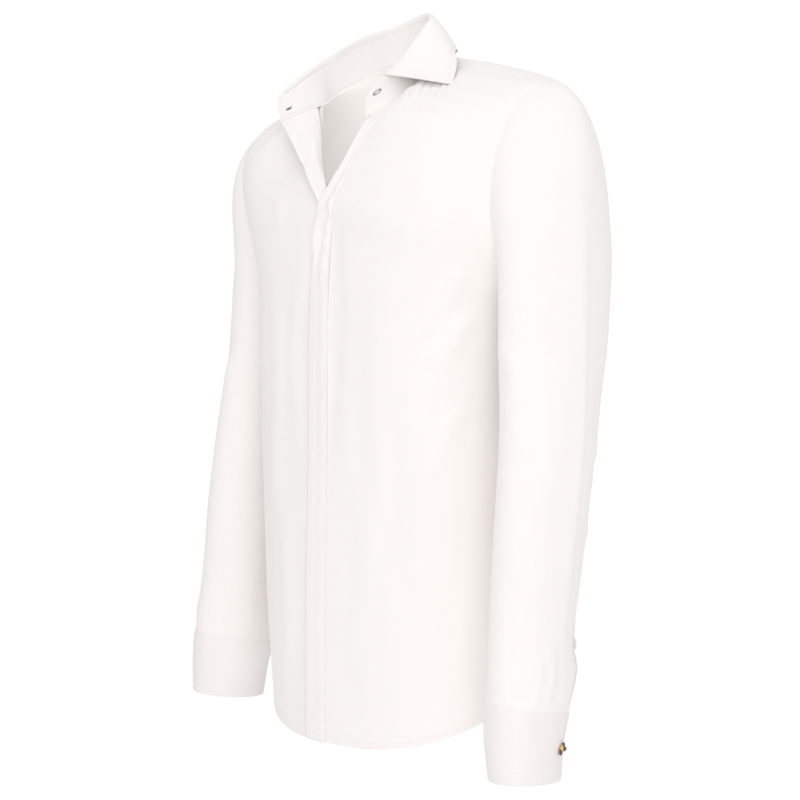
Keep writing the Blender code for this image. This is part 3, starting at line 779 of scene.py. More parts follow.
def lay_cloth(name, node, piece, finish, wall=CLOTH, outside=0.0, inside=0.0, seams=()):
    """Turn a piece into cloth: its points moved out and in by half the wall.

    wall: the cloth's own thickness.  outside and inside: extra layers on either face.
    seams: rows of (edge, inset) or (edge, inset, low rung, high rung).
    """
    shape = piece.across.shape
    front = np.broadcast_to(wall / 2 + outside, shape)[..., None]
    behind = np.broadcast_to(wall / 2 + inside, shape)[..., None]
    outer = (piece.points + piece.out * front).reshape(-1, 3)
    inner = (piece.points - piece.out * behind).reshape(-1, 3)
    faces = wall_faces(*shape)
    i, j = shape[0] // 2, shape[1] // 2
    turn = np.cross(piece.points[i, j + 1] - piece.points[i, j],
                    piece.points[i + 1, j] - piece.points[i, j])
    if turn @ piece.out[i, j] < 0:
        faces = faces[:, ::-1]
    mesh = bpy.data.meshes.new(name)
    mesh.from_pydata(np.vstack([outer, inner]).tolist(), [], faces.tolist())
    flat = np.stack([piece.across, piece.along], -1).reshape(-1, 2)
    corner = np.empty(len(mesh.loops), dtype=np.int32)
    mesh.loops.foreach_get("vertex_index", corner)
    mesh.uv_layers.new(name="cloth").data.foreach_set("uv", np.vstack([flat, flat])[corner].ravel())
    seam = np.full(shape, FAR)
    runs = []
    for edge, inset, *part in seams:
        apart = np.abs(piece.edges[edge] - inset)
        seam = np.minimum(seam, np.where(piece.between(*part) if part else True, apart, FAR))
        path, out = piece.seam_line(edge, inset, *part)
        lift = float(np.max(wall)) / 2 + float(np.max(outside)) + THREAD_RADIUS * .2
        runs.append(stitched(path, out, lift))
    note(mesh, "seam", seam)
    mesh.update()
    obj = show(mesh, finish, node, sharp=50)
    width = float(piece.across[:, -1].max())
    length = float(piece.along[-1].max())
    area = min(max(piece.area(), LEAST_AREA * width * length), width * length)
    if runs:
        sew(name + "_stitches", np.concatenate(runs, axis=1), thread)
    print(f"{name}: cut {width:.3f} x {length:.3f} m, {piece.area():.4f} m2, {len(faces)} faces")
    return obj


# %% [markdown]
# ## Fronts
#
# Each front hangs from the yoke, curves round the side of the chest and is cut away at the
# armhole and the neck.  It could be cut from a tube, but then its edges would not follow the
# pattern.  So every level line is a cubic of its own, which leaves the front edge straight out
# and comes round to the side seam or the armhole.

# %% Fronts
GRID = 0.0036                      # metres between grid lines
FACING_LEVEL = 1 + 4 / ARMHOLE_FRONT    # where the right front starts to turn out
FRONT_LOW = .445                   # metres of cloth from the hem to the armpit
FRONT_HIGH = .265                  # from the armpit to the yoke
FRONT_AROUND = .245                # from the placket to the side


def front_points(edge_table, stations, sign, levels, t_columns):
    """Rows at the levels (0 hem, 1 armpit, 2 yoke seam), columns at t_columns, which count
    the solid's grid columns from the front edge to the side."""
    knots = np.append(edge_table["level"], NECK_LEVEL)
    neck_start = neckline([stations[0]])
    free_points = np.vstack([point(edge_table), neck_start])
    free = through(knots, free_points, np.minimum(levels, NECK_LEVEL))
    on_neck = np.interp(levels, [NECK_LEVEL, 2], stations)
    inner = np.where((levels < NECK_LEVEL)[:, None], free, neckline(on_neck))
    side = through(SIDE_SEAM["level"], point(SIDE_SEAM), np.minimum(levels, 1))
    angle = np.interp(levels, [1, 2], [180, YOKE_FRONT_ANGLE])
    outer = np.where((levels <= 1)[:, None], side, armhole(angle)) * np.array([sign, 1, 1])
    names = "out out_y out_rise side wrap side_rise"
    out, out_y, out_rise, side, wrap, side_rise = along(FRONT_SHAPE, "level", names, levels)
    reach = np.abs(outer[:, 0] - inner[:, 0])
    leave = inner + np.stack([sign * out * reach, out_y, out_rise], axis=-1)
    arrive = outer + np.stack([-sign * side, -wrap, side_rise], axis=-1)
    strip = PLACKET_WIDTH * np.interp(levels, [0, 1.25, 1.5, 2], [1, 1, .5, .4])
    part = (strip / (3 * out * reach + .004))[:, None]
    t = np.where(t_columns < 2, part * t_columns / 2,
                 part + (1 - part) * (t_columns - 2) / (FRONT_COLUMNS - 2))
    return bezier(inner[:, None], leave[:, None], arrive[:, None], outer[:, None], t[..., None])


LEFT = (LEFT_EDGE, [0, NECK_FRONT], 1)
RIGHT = (RIGHT_EDGE, [18, 14], -1)
body_levels = np.concatenate([places(FRONT_LOW, GRID, high=False),
                              1 + places(FRONT_HIGH, GRID, low=False)[1:]])
front_columns = np.concatenate([places(PLACKET_WIDTH, .0026, high=False) * 2,
                                2 + places(FRONT_AROUND, GRID, low=False)[1:] * (FRONT_COLUMNS - 2)])
left_front = Piece(carried(front_points(*LEFT, body_levels, front_columns)), 1, body_levels)
right_front = Piece(carried(front_points(*RIGHT, body_levels, front_columns)), -1, body_levels)
for front in (left_front, right_front):
    front.soften(1, .06)
print("front grid:", left_front.points.shape)

# %% [markdown]
# ## Back
#
# The back is one panel from the hem to the yoke seam.  It could be made as two mirrored
# halves, but a real back has no seam down its middle.  So both halves come from one grid, and
# each level line is a cubic from the centre line out and round to the side.

# %% Back
BACK_HALF = FRONT_COLUMNS + NECK_BACK // 2
BACK_LOW = .455                    # metres of cloth from the hem to the armpit
BACK_HIGH = .240                   # from the armpit to the yoke
BACK_SIDE = .150                   # from the side to beside the neck


def back_points(levels, columns):
    """Rows at the levels, columns counted from the left side seam (0) to the right one
    (2 BACK_HALF).  Each half is a cubic from the centre line out and round to the side."""
    side = through(SIDE_SEAM["level"], point(SIDE_SEAM), np.minimum(levels, 1))
    angle = np.interp(levels, [1, 2], [180, YOKE_BACK_ANGLE])
    outer = np.where((levels <= 1)[:, None], side, armhole(angle))
    y, z, out, wrap, side_rise = along(BACK_SHAPE, "level", "y z out wrap side_rise", levels)
    centre = np.stack([0 * y, y, z], axis=-1)
    leave = centre + np.stack([out * outer[:, 0], 0 * y, 0 * y], axis=-1)
    inward = np.interp(levels, [0, .9, 1.5, 2], [0, .002, .030, .036])
    arrive = outer + np.stack([-inward, wrap, side_rise], axis=-1)
    t = np.abs(BACK_HALF - columns) / BACK_HALF
    half = bezier(centre[:, None], leave[:, None], arrive[:, None], outer[:, None],
                  t[None, :, None])
    sign = np.where(columns <= BACK_HALF, 1.0, -1.0)[None, :]
    return np.stack([half[..., 0] * sign, half[..., 1], half[..., 2]], axis=-1)


side_columns = FRONT_COLUMNS - FRONT_COLUMNS * places(BACK_SIDE, GRID, low=False)[::-1]
side_columns = np.unique(np.concatenate([side_columns, [0, FRONT_COLUMNS]]))
back_columns = np.concatenate([side_columns, FRONT_COLUMNS + np.linspace(0, NECK_BACK, 45)[1:],
                               2 * BACK_HALF - side_columns[::-1][1:]])
back_levels = np.concatenate([places(BACK_LOW, GRID, high=False),
                              1 + places(BACK_HIGH, GRID, low=False)[1:]])
back = Piece(carried(back_points(back_levels, back_columns)), 1, back_levels)
back.soften(1, .06)
print("back grid:", back.points.shape)

# %% [markdown]
# ## Yoke
#
# The yoke is the piece over the shoulders.  Its near edge is the two front seams and the back
# of the neck, its far edge the back seam.  A plain bridge between the edges would show a
# corner at each seam, so every line across it leaves and arrives in line with the cloth there.

# %% Yoke
YOKE_DEPTH = .115                  # metres of cloth from the near edge to the far one


def yoke_points(columns, depth):
    """Rows from the near edge (depth 0) to the far one (1), columns as on the back.

    Each line is a cubic that leaves and arrives in line with the cloth beyond the seams."""
    width = FRONT_COLUMNS
    left = np.minimum(columns, width)
    right = np.minimum(2 * BACK_HALF - columns, width)
    before = np.array([2.0, 2 - 1 / ARMHOLE_FRONT])
    near_left, below_left = front_points(*LEFT, before, width - left)
    near_right, below_right = front_points(*RIGHT, before, width - right)
    station = np.clip(columns - width + NECK_FRONT, NECK_FRONT, NECK_FRONT + NECK_BACK)
    on_left = (columns <= width)[:, None]
    on_right = (columns >= 2 * BACK_HALF - width)[:, None]
    near = np.where(on_left, near_left, np.where(on_right, near_right, neckline(station)))
    far, beyond = back_points(np.array([2.0, 2 - 1 / ARMHOLE_BACK]), columns)
    over_right = mirrored(OVER_SHOULDER)
    left_share = ((left / width) ** 2)[:, None]
    right_share = ((right / width) ** 2)[:, None]
    middle = 1 - np.abs((columns - BACK_HALF) / (NECK_BACK / 2))[:, None]
    fall = unit(far - near) + np.array([0, .10, .05])
    beside = np.where((columns < BACK_HALF)[:, None], OVER_SHOULDER, over_right)
    rise_left = unit(unit(near_left - below_left) * (1 - left_share) + OVER_SHOULDER * left_share)
    rise_right = unit(unit(near_right - below_right) * (1 - right_share) + over_right * right_share)
    rise_neck = unit(fall * middle + beside * (1 - middle))
    rise = np.where(on_left, rise_left, np.where(on_right, rise_right, rise_neck))
    arrive = unit(far - beyond)
    length = np.linalg.norm(far - near, axis=1, keepdims=True) * YOKE_FULLNESS
    points = bezier(near, near + rise * length, far + arrive * length, far, depth[:, None, None])
    rim = armhole(np.interp(depth, [0, .25, 1], [YOKE_FRONT_ANGLE, 0, YOKE_BACK_ANGLE - 360]) % 360)
    for side, edge in ((0, rim), (-1, mirrored(rim))):
        shift = edge - points[:, side]
        away = columns if side == 0 else 2 * BACK_HALF - columns
        share = np.interp(away, [0, 1, 2, 3], [1, .55, .2, 0])
        points = points + shift[:, None] * share[None, :, None]
    return points


yoke = Piece(carried(yoke_points(back_columns, places(YOKE_DEPTH, .0030))), -1)
print("yoke grid:", yoke.points.shape)

# %% [markdown]
# ## Sleeves
#
# A sleeve is one piece, closed by a seam under the arm.  A tube along a curve would do for the
# arm, but not for the head, which has to meet the armhole.  So the head turns down from the
# armhole in cubics, and below it the sleeve is a stack of ovals that follow the hanging arm.

# %% Sleeves
HEAD_RUN = .16                     # metres of cloth from the armhole to the first oval
TUBE_RUN = .34                     # from there to the cuff
ROUND_RUN = .34                    # round the sleeve


def sleeve_sections(z, turns, proud=0.0):
    """Ovals round the left arm, each square to the arm's line, at the given turns:
    0 outside, 90 degrees front, 180 inside, 270 behind."""
    x, y, half_x, half_y, turn = along(SLEEVE, "down", "x y half_x half_y turn", -z)
    step = .004
    above = along(SLEEVE, "down", "x y", step - z)
    below = along(SLEEVE, "down", "x y", -step - z)
    lean_x = (below[0] - above[0])[:, None] / (2 * step)
    lean_y = (below[1] - above[1])[:, None] / (2 * step)
    across = (half_x[:, None] + proud) * np.cos(turns)
    fore = -(half_y[:, None] + proud) * np.sin(turns)
    twist = np.radians(turn)[:, None]
    dx = across * np.cos(twist) - fore * np.sin(twist)
    dy = across * np.sin(twist) + fore * np.cos(twist)
    dz = -lean_x * dx - lean_y * dy
    return np.stack([x[:, None] + dx, y[:, None] + dy, z[:, None] + dz], axis=-1)


def sleeve_points(angles, head, z, sway=0.0):
    """The head from the armhole (head 0) to the first oval (head 1), then ovals down.

    sway moves the upper arm back."""
    turns = np.radians(angles)[None, :]
    rings = sleeve_sections(np.append(z, SLEEVE_RING_Z - .03), turns)
    heights = np.append(z, SLEEVE_RING_Z - .03)
    rings[..., 1] += sway * smooth(heights, -.44, SLEEVE_RING_Z)[:, None]
    tube, below = rings[:-1], rings[-1]
    start = armhole(angles % 360)
    top = np.cos(turns[0])[:, None]
    front = np.sin(turns[0])[:, None]
    # The head leaves the armhole outwards and down, fullest over the shoulder
    way = unit(np.hstack([.78 + .06 * top, -.27 * front, -.60 + .22 * top]))
    reach = .036 + .032 * top
    lift = .048 + .042 * top
    up = tube[0] + unit(tube[0] - below) * lift
    t = (head ** 1.15)[:, None, None]
    return np.concatenate([bezier(start, start + way * reach, up, tube[0], t), tube[1:]])


sleeve_end = CUFF_BOTTOM_Z + CUFF_HEIGHT - .0040
sleeve_angles = 180 + 360 * places(ROUND_RUN, .0040)
sleeve_head = places(HEAD_RUN, .0040, high=False)
sleeve_z = SLEEVE_RING_Z + (sleeve_end - SLEEVE_RING_Z) * places(TUBE_RUN, .0042, low=False)
left_sleeve = Piece(sleeve_points(sleeve_angles, sleeve_head, sleeve_z), 1, closed=True)
swayed = mirrored(sleeve_points(sleeve_angles, sleeve_head, sleeve_z, RIGHT_SWAY))
right_sleeve = Piece(carried(swayed), -1, closed=True)
print("sleeve grid:", left_sleeve.points.shape)

# %% [markdown]
# ### Creases of the fronts
#
# The fronts fall in long shallow folds.  The closed edge draws the cloth beside it into a
# shallow trough, and beside the collar point the front is gathered in small ripples.  The
# collar point lies on the cloth and would cut through a flat one, so the front and the yoke
# rise to meet it in a rounded hump.  All of it could be a bump, but then the outline and the
# shadows would stay flat.

# %% Creases of the fronts
RIPPLE_PITCH = .0088
REST = (.078, -.062)               # where the collar's point lies on the cloth, x and y
REST_SIZE = (.018, .026)
x, z = left_front.across, left_front.points[..., 2]
folds = creases(x, z, [
    (.0375, -.110, .0385, -.400, .0060, -.0012, .0006),
    (.050, -.110, .052, -.330, .015, -.0024, .002),
    (.062, -.100, .070, -.400, .012, .0013, .006),
    (.105, -.170, .095, -.460, .018, .0018, -.010),
    (.150, -.240, .165, -.560, .016, .0022, .008),
    (.080, -.380, .088, -.640, .015, .0015, -.006),
    (.130, -.420, .128, -.650, .018, .0016, .006),
    (.205, -.300, .160, -.380, .010, .0016, .004),
    (.215, -.215, .170, -.270, .009, .0022, .003),
    (.210, -.170, .175, -.215, .008, .0016, .002),
    (.200, -.480, .205, -.650, .014, .0018, .004),
    (.090, -.030, .140, -.100, .012, .0012, .004)])
out_x = left_front.points[..., 0]
under_collar = smooth(z, -.020, .004) * smooth(z, .034, .016)
under_collar = under_collar * smooth(out_x, .064, .078) * smooth(out_x, .130, .116)
ripple = np.sin(2 * math.pi * (out_x + .35 * z) / RIPPLE_PITCH)
lying = smooth(out_x, .045, .080) * smooth(z, -.045, .005)
from_neck = smooth(left_front.edges["left"], .002, .010)
left_front.crease(folds + (.0015 * lying + .0009 * ripple * under_collar) * from_neck,
                  "right high low", .014)


def leaf_rest(points):
    """How far the cloth stands out where the collar's point lies on it: a bell about REST."""
    x, y = points[..., 0], points[..., 1]
    return .0072 * np.exp(-((x - REST[0]) / REST_SIZE[0]) ** 2 - ((y - REST[1]) / REST_SIZE[1]) ** 2)


left_front.push(leaf_rest(left_front.points) * smooth(left_front.edges["left"], .004, .018))
yoke.push(leaf_rest(yoke.points))

x, z = right_front.across, right_front.points[..., 2]
right_front.crease(creases(x, z, [
    (.050, -.140, .062, -.350, .012, .0015, -.006),
    (.115, -.150, .105, -.460, .017, .0018, .010),
    (.165, -.260, .160, -.600, .016, .0020, -.008),
    (.210, -.225, .160, -.275, .009, .0020, .004),
    (.080, -.400, .085, -.640, .015, .0016, .006),
    (.215, -.420, .190, -.640, .014, .0018, .004),
    (.060, -.060, .110, -.120, .010, .0012, .004)]), "right high low", .014)
print("fronts creased")

# %% [markdown]
# ### Creases of the back
#
# The back falls from the shoulder blades in long folds and bends a little at the waist.  One
# side could be mirrored onto the other, but worn cloth is never even.  So each side has rows of
# its own, measured from the centre line.

# %% Creases of the back
x, z = back.across - back.across[:, -1:] / 2, back.points[..., 2]
back.crease(creases(x, z, [
    (-.060, -.050, -.085, -.330, .018, .0020, .008),
    (.050, -.060, .080, -.300, .018, .0022, -.010),
    (.150, -.180, .105, -.330, .014, .0022, .008),
    (-.160, -.190, -.110, -.340, .014, .0022, -.006),
    (.030, -.260, .045, -.600, .020, .0018, .012),
    (-.040, -.300, -.030, -.640, .020, .0020, -.010),
    (.120, -.360, .110, -.640, .016, .0022, .006),
    (-.120, -.380, -.125, -.640, .016, .0022, .004),
    (.180, -.260, .120, -.300, .010, .0018, .004),
    (-.175, -.280, -.115, -.310, .010, .0018, -.004)]), "left right high low", .016)
print("back creased")

# %% [markdown]
# ### Creases of the sleeves
#
# Each sleeve was pressed flat, which leaves one long crease down its outer side, and it bends
# in short folds at the elbow.  Above the cuff the cloth is pleated and stands out behind the
# wrist.  The arms could be creased one by one, but both sleeves take the same rows, as their
# grids mirror each other.

# %% Creases of the sleeves
PLEAT_Z = -.549                    # where the pleated cloth stands out furthest
PLEAT_TURN = math.radians(314)


def strip_pleat(z, turn):
    """How far the cloth stands out above the cuff, behind the wrist: a bell over height and
    over the turn round the sleeve."""
    return .0034 * np.exp(-((z - PLEAT_Z) / .013) ** 2) * np.exp(-((turn - PLEAT_TURN) / .42) ** 2)


SLEEVE_FOLDS = [
    (.004, -.010, .004, -.575, .0034, .0015, .004),
    (.004, -.030, .004, -.560, .0130, .0014, .003),
    (-.070, -.120, -.050, -.300, .014, .0020, .006),
    (.060, -.130, .050, -.260, .014, .0018, -.006),
    (-.100, -.330, -.030, -.350, .010, .0016, .004),
    (-.105, -.370, -.035, -.382, .009, .0018, -.003),
    (-.090, -.410, -.020, -.425, .010, .0014, .004),
    (.040, -.300, .046, -.520, .012, .0016, .006),
    (-.040, -.380, -.045, -.560, .012, .0014, -.005),
    (.020, -.520, .026, -.584, .0050, .0018, .001),
    (.034, -.530, .040, -.584, .0045, .0015, .001),
    (-.120, -.230, -.070, -.250, .009, .0020, .003),
    (.100, -.240, .060, -.290, .010, .0018, .003)]
for sleeve in (left_sleeve, right_sleeve):
    x = sleeve.across - sleeve.across[:, -1:] / 2
    z = sleeve.points[..., 2]
    sleeve.crease(creases(x, z, SLEEVE_FOLDS), "left right low high", .010)
    turn = np.radians(sleeve_angles % 360)[None, :]
    level = np.append(np.full(len(sleeve_head), SLEEVE_RING_Z), sleeve_z[1:])[:, None]
    # The last rows are drawn in to pass under the cuff, and stand out just above it
    tuck = (.0018 * smooth(level, sleeve_end + .0038, sleeve_end + .0026)
            - .0011 * smooth(level, sleeve_end + .0140, sleeve_end + .0052))
    sleeve.push(strip_pleat(level, turn) - tuck)
print("sleeves creased")

# %% [markdown]
# ### Sew the body and the sleeves
#
# The seams are felled: one piece's edge is turned over the other's and sewn down with two
# rows, so it lies as a second layer beside the seam.  The hem is turned up on the inside.
# The layer could be a piece of its own, but raising the wall there makes the same step.

# %% Sew the body and the sleeves
HEM = .0060
FELL = (.0016, .0064)              # the two rows of stitches, from the seam
FELL_WIDTH = .0075
side_seams = [("right", inset, 0, 1) for inset in FELL]
for name, node, piece in (("left_front", "front_left", left_front),
                          ("right_front", "front_right", right_front)):
    layers = piece.lap("right", FELL_WIDTH, 0, 1)
    lay_cloth(name, node, piece, white_cloth, outside=layers, inside=piece.lap("low", HEM + .001),
              seams=side_seams + [("low", HEM)])
lay_cloth("back_panel", "back", back, white_cloth, inside=back.lap("low", HEM + .001),
          seams=[("low", HEM)])
yoke_layers = np.maximum(yoke.lap("low", FELL_WIDTH), yoke.lap("high", FELL_WIDTH))
lay_cloth("shoulder_yoke", "yoke", yoke, white_cloth, outside=yoke_layers,
          seams=[("low", .0018), ("high", .0018)])
for name, node, piece in (("left_sleeve", "sleeve_left", left_sleeve),
                          ("right_sleeve", "sleeve_right", right_sleeve)):
    lay_cloth(name, node, piece, white_cloth, outside=piece.lap("left", FELL_WIDTH),
              seams=[("left", inset) for inset in FELL])

# %% [markdown]
# ## Fly placket
#
# The left front's edge is a folded strip that hides the buttons.  It could be drawn on the
# front as two lines, but it is a layer of its own, and its edge throws a shadow.  So the strip
# is laid on the front's own grid, one layer out, and sinks flush with it along the stitching.
# Below the opening it lies flat, with small puckers.  At the opening it narrows and twists
# along the neck.

# %% Fly placket
PLACKET_LAYER = .0011
STRIP_GRID = .0014                 # metres between its grid lines
strip_levels = body_levels[body_levels <= NECK_LEVEL]
strip_levels = np.unique(np.concatenate([strip_levels, np.linspace(1, NECK_LEVEL, 90)]))
strip_columns = places(PLACKET_WIDTH, STRIP_GRID) * 2
strip = Piece(front_points(*LEFT, strip_levels, strip_columns), 1, strip_levels)
x, z = strip.across, strip.points[..., 2]
share = x / x[:, -1:]
level = strip.rung[:, None]
opening = smooth(level, 1.06, 1.22)
twist = opening * (.0016 * np.sin(2 * math.pi * (share * 1.35 + .10 * np.sin(strip.along * 60)) + .4)
                   + .0007 * np.sin(strip.along * 300 + share * 7) * smooth(share, .2, .9))
top_folds = creases(x, z, [
    (.012, -.098, .008, -.150, .0045, .0026, .001),
    (.024, -.104, .013, -.160, .0032, -.0036, .001),
    (.027, -.118, .020, -.185, .0040, .0020, .001)])
puckers = creases(x, z, [
    (.034, -.226, .018, -.236, .0022, .0008, .000),
    (.034, -.292, .015, -.304, .0024, .0009, .000),
    (.033, -.352, .017, -.361, .0020, .0007, .000),
    (.034, -.398, .014, -.412, .0024, .0008, .001),
    (.033, -.452, .018, -.463, .0022, .0007, .000),
    (.034, -.497, .015, -.509, .0024, .0008, .000),
    (.033, -.556, .017, -.566, .0022, .0007, .000),
    (.034, -.602, .016, -.611, .0020, .0006, .000)])
edge_line = .0004 * np.exp(-((x - .0090) / .0016) ** 2) * smooth(level, 1.2, 1.0)
free = smooth(level, NECK_LEVEL, NECK_LEVEL - .05)
layer = PLACKET_LAYER * free * (1 - .80 * smooth(share, .72, .97))
twisted = free * twist * smooth(share, 0, .12) * smooth(share, 1, .9)
folded = 1.4 * top_folds * smooth(share, 1, .85)
strip.push(layer + twisted + folded + puckers * smooth(share, 1, .9) + edge_line)
rounded = .0005 * smooth(strip.edges["left"], .0012, 0) + .0002 * smooth(strip.edges["right"], .0012, 0)
strip.push(-rounded)
fly = lay_cloth("fly_placket", "placket", strip, fold_shadow_cloth, wall=.0009 - rounded * .5,
                seams=[("right", .0012), ("low", HEM)])
# rim: distance to the strip's folded edges, along which the finish paints a shadow
note(fly.data, "rim", np.minimum(strip.edges["left"], strip.edges["right"] + .0012))

# %% [markdown]
# ### The fly's inner layers
#
# The strip is folded several times, and the inner folds show beside it: two wavy edges at the
# neck, and one straight edge in the slit between the fronts.  Whole layers could be laid under
# the strip, but only their edges are ever seen.  Each is a narrow ribbon that starts under the
# strip and reaches out past its edge, or stops short of it.

# %% The fly's inner layers
UNDER_STRIP = .010                 # where a layer starts, inside the strip's edge
# number, reach past the edge, depth below it, pitch of the waves, first and last level
FLY_LAYERS = ((1, .0022, .0004, .021, 1.17, NECK_LEVEL),
              (2, .0040, .0011, .027, 1.17, NECK_LEVEL),
              (3, -.0022, .0010, .021, .004, 1.25))
for number, reach, depth, pitch, low, high in FLY_LAYERS:
    band = Piece(front_points(*LEFT, np.linspace(low, high, 110), np.array([0, .5, 1.0])), 1)
    inward = unit(band.points[:, 1] - band.points[:, 0])
    arc = band.along[:, :1]
    wave = .0009 * np.sin(2 * math.pi * arc / pitch) + .0005 * np.sin(2 * math.pi * arc / .009 + 1)
    wave = wave * (reach > 0)      # an edge that stays under the strip is straight
    ends = smooth(arc, 0, .02) * smooth(arc[-1:] - arc, 0, .012)
    tongue = (reach + wave) * ends
    across = np.linspace(0, 1, 9)[None, :, None]
    start = band.points[:, :1] + inward[:, None] * UNDER_STRIP
    stop = band.points[:, :1] - inward[:, None] * tongue[:, None]
    ribbon = Piece(start * (1 - across) + stop * across, -1)
    ribbon.push(0 * ribbon.across - depth - .0004 * np.sin(2 * math.pi * arc / pitch + 2))
    lay_cloth(f"fly_layer_{number}", None, ribbon, white_cloth, wall=.0005)

# %% [markdown]
# ## Turned-out facing
#
# The right front's edge lies open at the neck, turned back on itself like a small lapel.  It
# could be the front itself, folded over, but a grid bent that sharply pinches at the fold.  So
# it is a piece of its own, which leaves the front's edge along the way out of the cloth, rolls
# over and ends at its own free edge.

# %% Turned-out facing
FACING_WIDTH = .040
FACING_START = FACING_LEVEL - .046
NECK_STATIONS = (18.4, 19, 21)     # the collar's stations over which the facing's top runs
facing_levels = np.linspace(FACING_START, NECK_LEVEL, 72)
rolled = Piece(carried(front_points(*RIGHT, facing_levels, np.array([0, .3, .6, 1.0]))), -1)
roll_line = rolled.points[:, 0] + rolled.out[:, 0] * .0010
rise = (facing_levels - FACING_LEVEL) / (NECK_LEVEL - FACING_LEVEL)
free = through(FACING_EDGE["rise"], point(FACING_EDGE), rise)
lift = (rolled.out[:, 0] * (.0012 + .0058 * smooth(rise, 0, .35))[:, None])[:, None]
across = places(FACING_WIDTH, .0016)[None, :, None]
facing_grid = bezier(roll_line[:, None], roll_line[:, None] + lift, free[:, None] + lift * .3,
                     free[:, None], across)
top_line = neckline(np.interp(across[0, :, 0], [0, 1 / 3, 1], NECK_STATIONS))
blend = smooth(rise, .60, 1)[:, None, None]
facing = Piece(facing_grid * (1 - blend) + top_line * blend, 1)
x, y = facing.across, facing.along
facing.crease(creases(x, y, [(.010, .020, .012, .085, .0035, .0012, .002),
                             (.004, .040, .008, .095, .0026, -.0010, .001),
                             (.022, .060, .020, .095, .0035, .0010, .000)]), "low high left", .006)
lay_cloth("turned_facing", "facing_right", facing, white_cloth, outside=facing.lap("right", .004),
          seams=[("right", .0034)])

# %% [markdown]
# ## Collar
#
# A shirt collar has two pieces, the stand round the neck and the leaf that folds down over
# it.  They could be one surface, but a real leaf is sewn into the stand's upper edge and rolls
# over it.  Both are fused, so they stand crisp, and both are stitched close to their edges.
# The stand is a band from the neckline to the fold, with rounded ends.

# %% Collar stand
END_ROUND = .62                    # stations over which the stand's end is rounded
STAND_OVER = .28                   # stations by which the left end reaches over the placket
STAND_END = 21                     # the last station


def stand_points(stations, heights):
    """Straight lines from the neckline (height 0) to the fold (1), rounded at the ends.

    Rounding: the top falls as sqrt(1 - (1 - s)^2), s running over END_ROUND from the end."""
    s = np.clip(np.minimum(stations + STAND_OVER, STAND_END - stations) / END_ROUND, 0, 1)
    top = .52 + .48 * np.sqrt(1 - (1 - s) ** 2)
    t = heights[:, None, None] * top[None, :, None]
    return neckline(stations) * (1 - t) + fold_line(stations) * t


even = np.linspace(-STAND_OVER, STAND_END, 148)
ends = np.linspace(0, END_ROUND, 16) ** 1.6
stand_stations = np.unique(np.concatenate([even, ends - STAND_OVER, STAND_END - ends]))
stand = Piece(stand_points(stand_stations, places(.042, .003)), 1)
lay_cloth("collar_band", "collar_stand", stand, fused_cloth, wall=.0018,
          seams=[("left", .0018), ("right", .0018), ("high", .0060)])
path, out = stand.seam_line("low", .0030)
sew("collar_band_inner_stitches", stitched(path, -out, .0009), pale_thread)

# %% [markdown]
# ### Collar leaf
#
# The leaf starts at the stand's upper edge, rolls over it in a tight bend and falls to its own
# edge, whose two corners are the spread points.  The roll is a short list of places beside the
# fold, carried all along it; the fall is a cubic, puffed out a little as fused cloth is.

# %% Collar leaf
# Places on the roll, as metres out of the fold and up from it, from inside to outside
ROLL = ((-.00125, -.0046), (-.00155, -.0026), (-.00135, -.0004), (-.0004, .0013),
        (.0012, .0016), (.0028, .0006))


def leaf_points(stations):
    """The roll over the stand's edge, then a cubic down to the leaf's edge."""
    neck, fold = neckline(stations), fold_line(stations)
    side = Piece(neck + (fold - neck) * np.array([0, .5, 1])[:, None, None], 1).out[-1]
    up = unit(fold - neck)
    edge = through(LEAF_EDGE["station"], point(LEAF_EDGE), stations)
    out = unit(side * np.array([1, 1, .2]))
    roll = np.stack([fold + side * a + up * b for a, b in ROLL])
    fine = np.linspace(0, len(ROLL) - 1, 21)
    roll = through(np.arange(len(ROLL)), roll.reshape(len(ROLL), -1), fine).reshape(len(fine), -1, 3)
    shoulder = roll[-1]
    drop = edge - shoulder
    puff = np.interp(stations, [3, 5, 13, 15], [.0045, .002, .002, .007])[:, None]
    t = places(.06, .0030, low=False)[1:, None, None]
    return np.concatenate([roll, bezier(shoulder, shoulder + drop * .22 + out * puff,
                                        edge - drop * .35 + out * .003, edge, t)])


leaf = Piece(leaf_points(1 + 19 * places(.50, .0034)), -1)
hidden = smooth(leaf.edges["low"], .0010, .0050)
lay_cloth("collar_fold", "collar_leaf", leaf, fused_cloth, wall=.0004 + .0010 * hidden,
          seams=[("left", .0055), ("right", .0055), ("high", .0055)])

# %% [markdown]
# ## Cuffs
#
# A cuff goes once round the wrist, and its inner end slips under the outer one, where the link
# holds them.  A closed ring would be simpler, but it would have no ends to lap.  So the cuff is
# a run of the same ovals as the sleeve, a little wider, that goes round more than once and
# moves in over its last part.

# %% Cuffs
CUFF_WALL = .0017
CUFF_RUN = .27                     # metres of cloth round the wrist
FULL_TURN = CUFF_OPENING + 2 * math.pi


def on_sleeve(z, turn, proud):
    """A place on the left sleeve or cuff, and the way out of it there: the cross product of
    a step round the oval and a step down the sleeve."""
    near = sleeve_sections(np.array([z]), np.array([[turn - .02, turn, turn + .02]]), proud)[0]
    below = sleeve_sections(np.array([z - .004]), np.array([[turn]]), proud)[0, 0]
    return near[1], unit(np.cross(near[2] - near[0], below - near[1]))


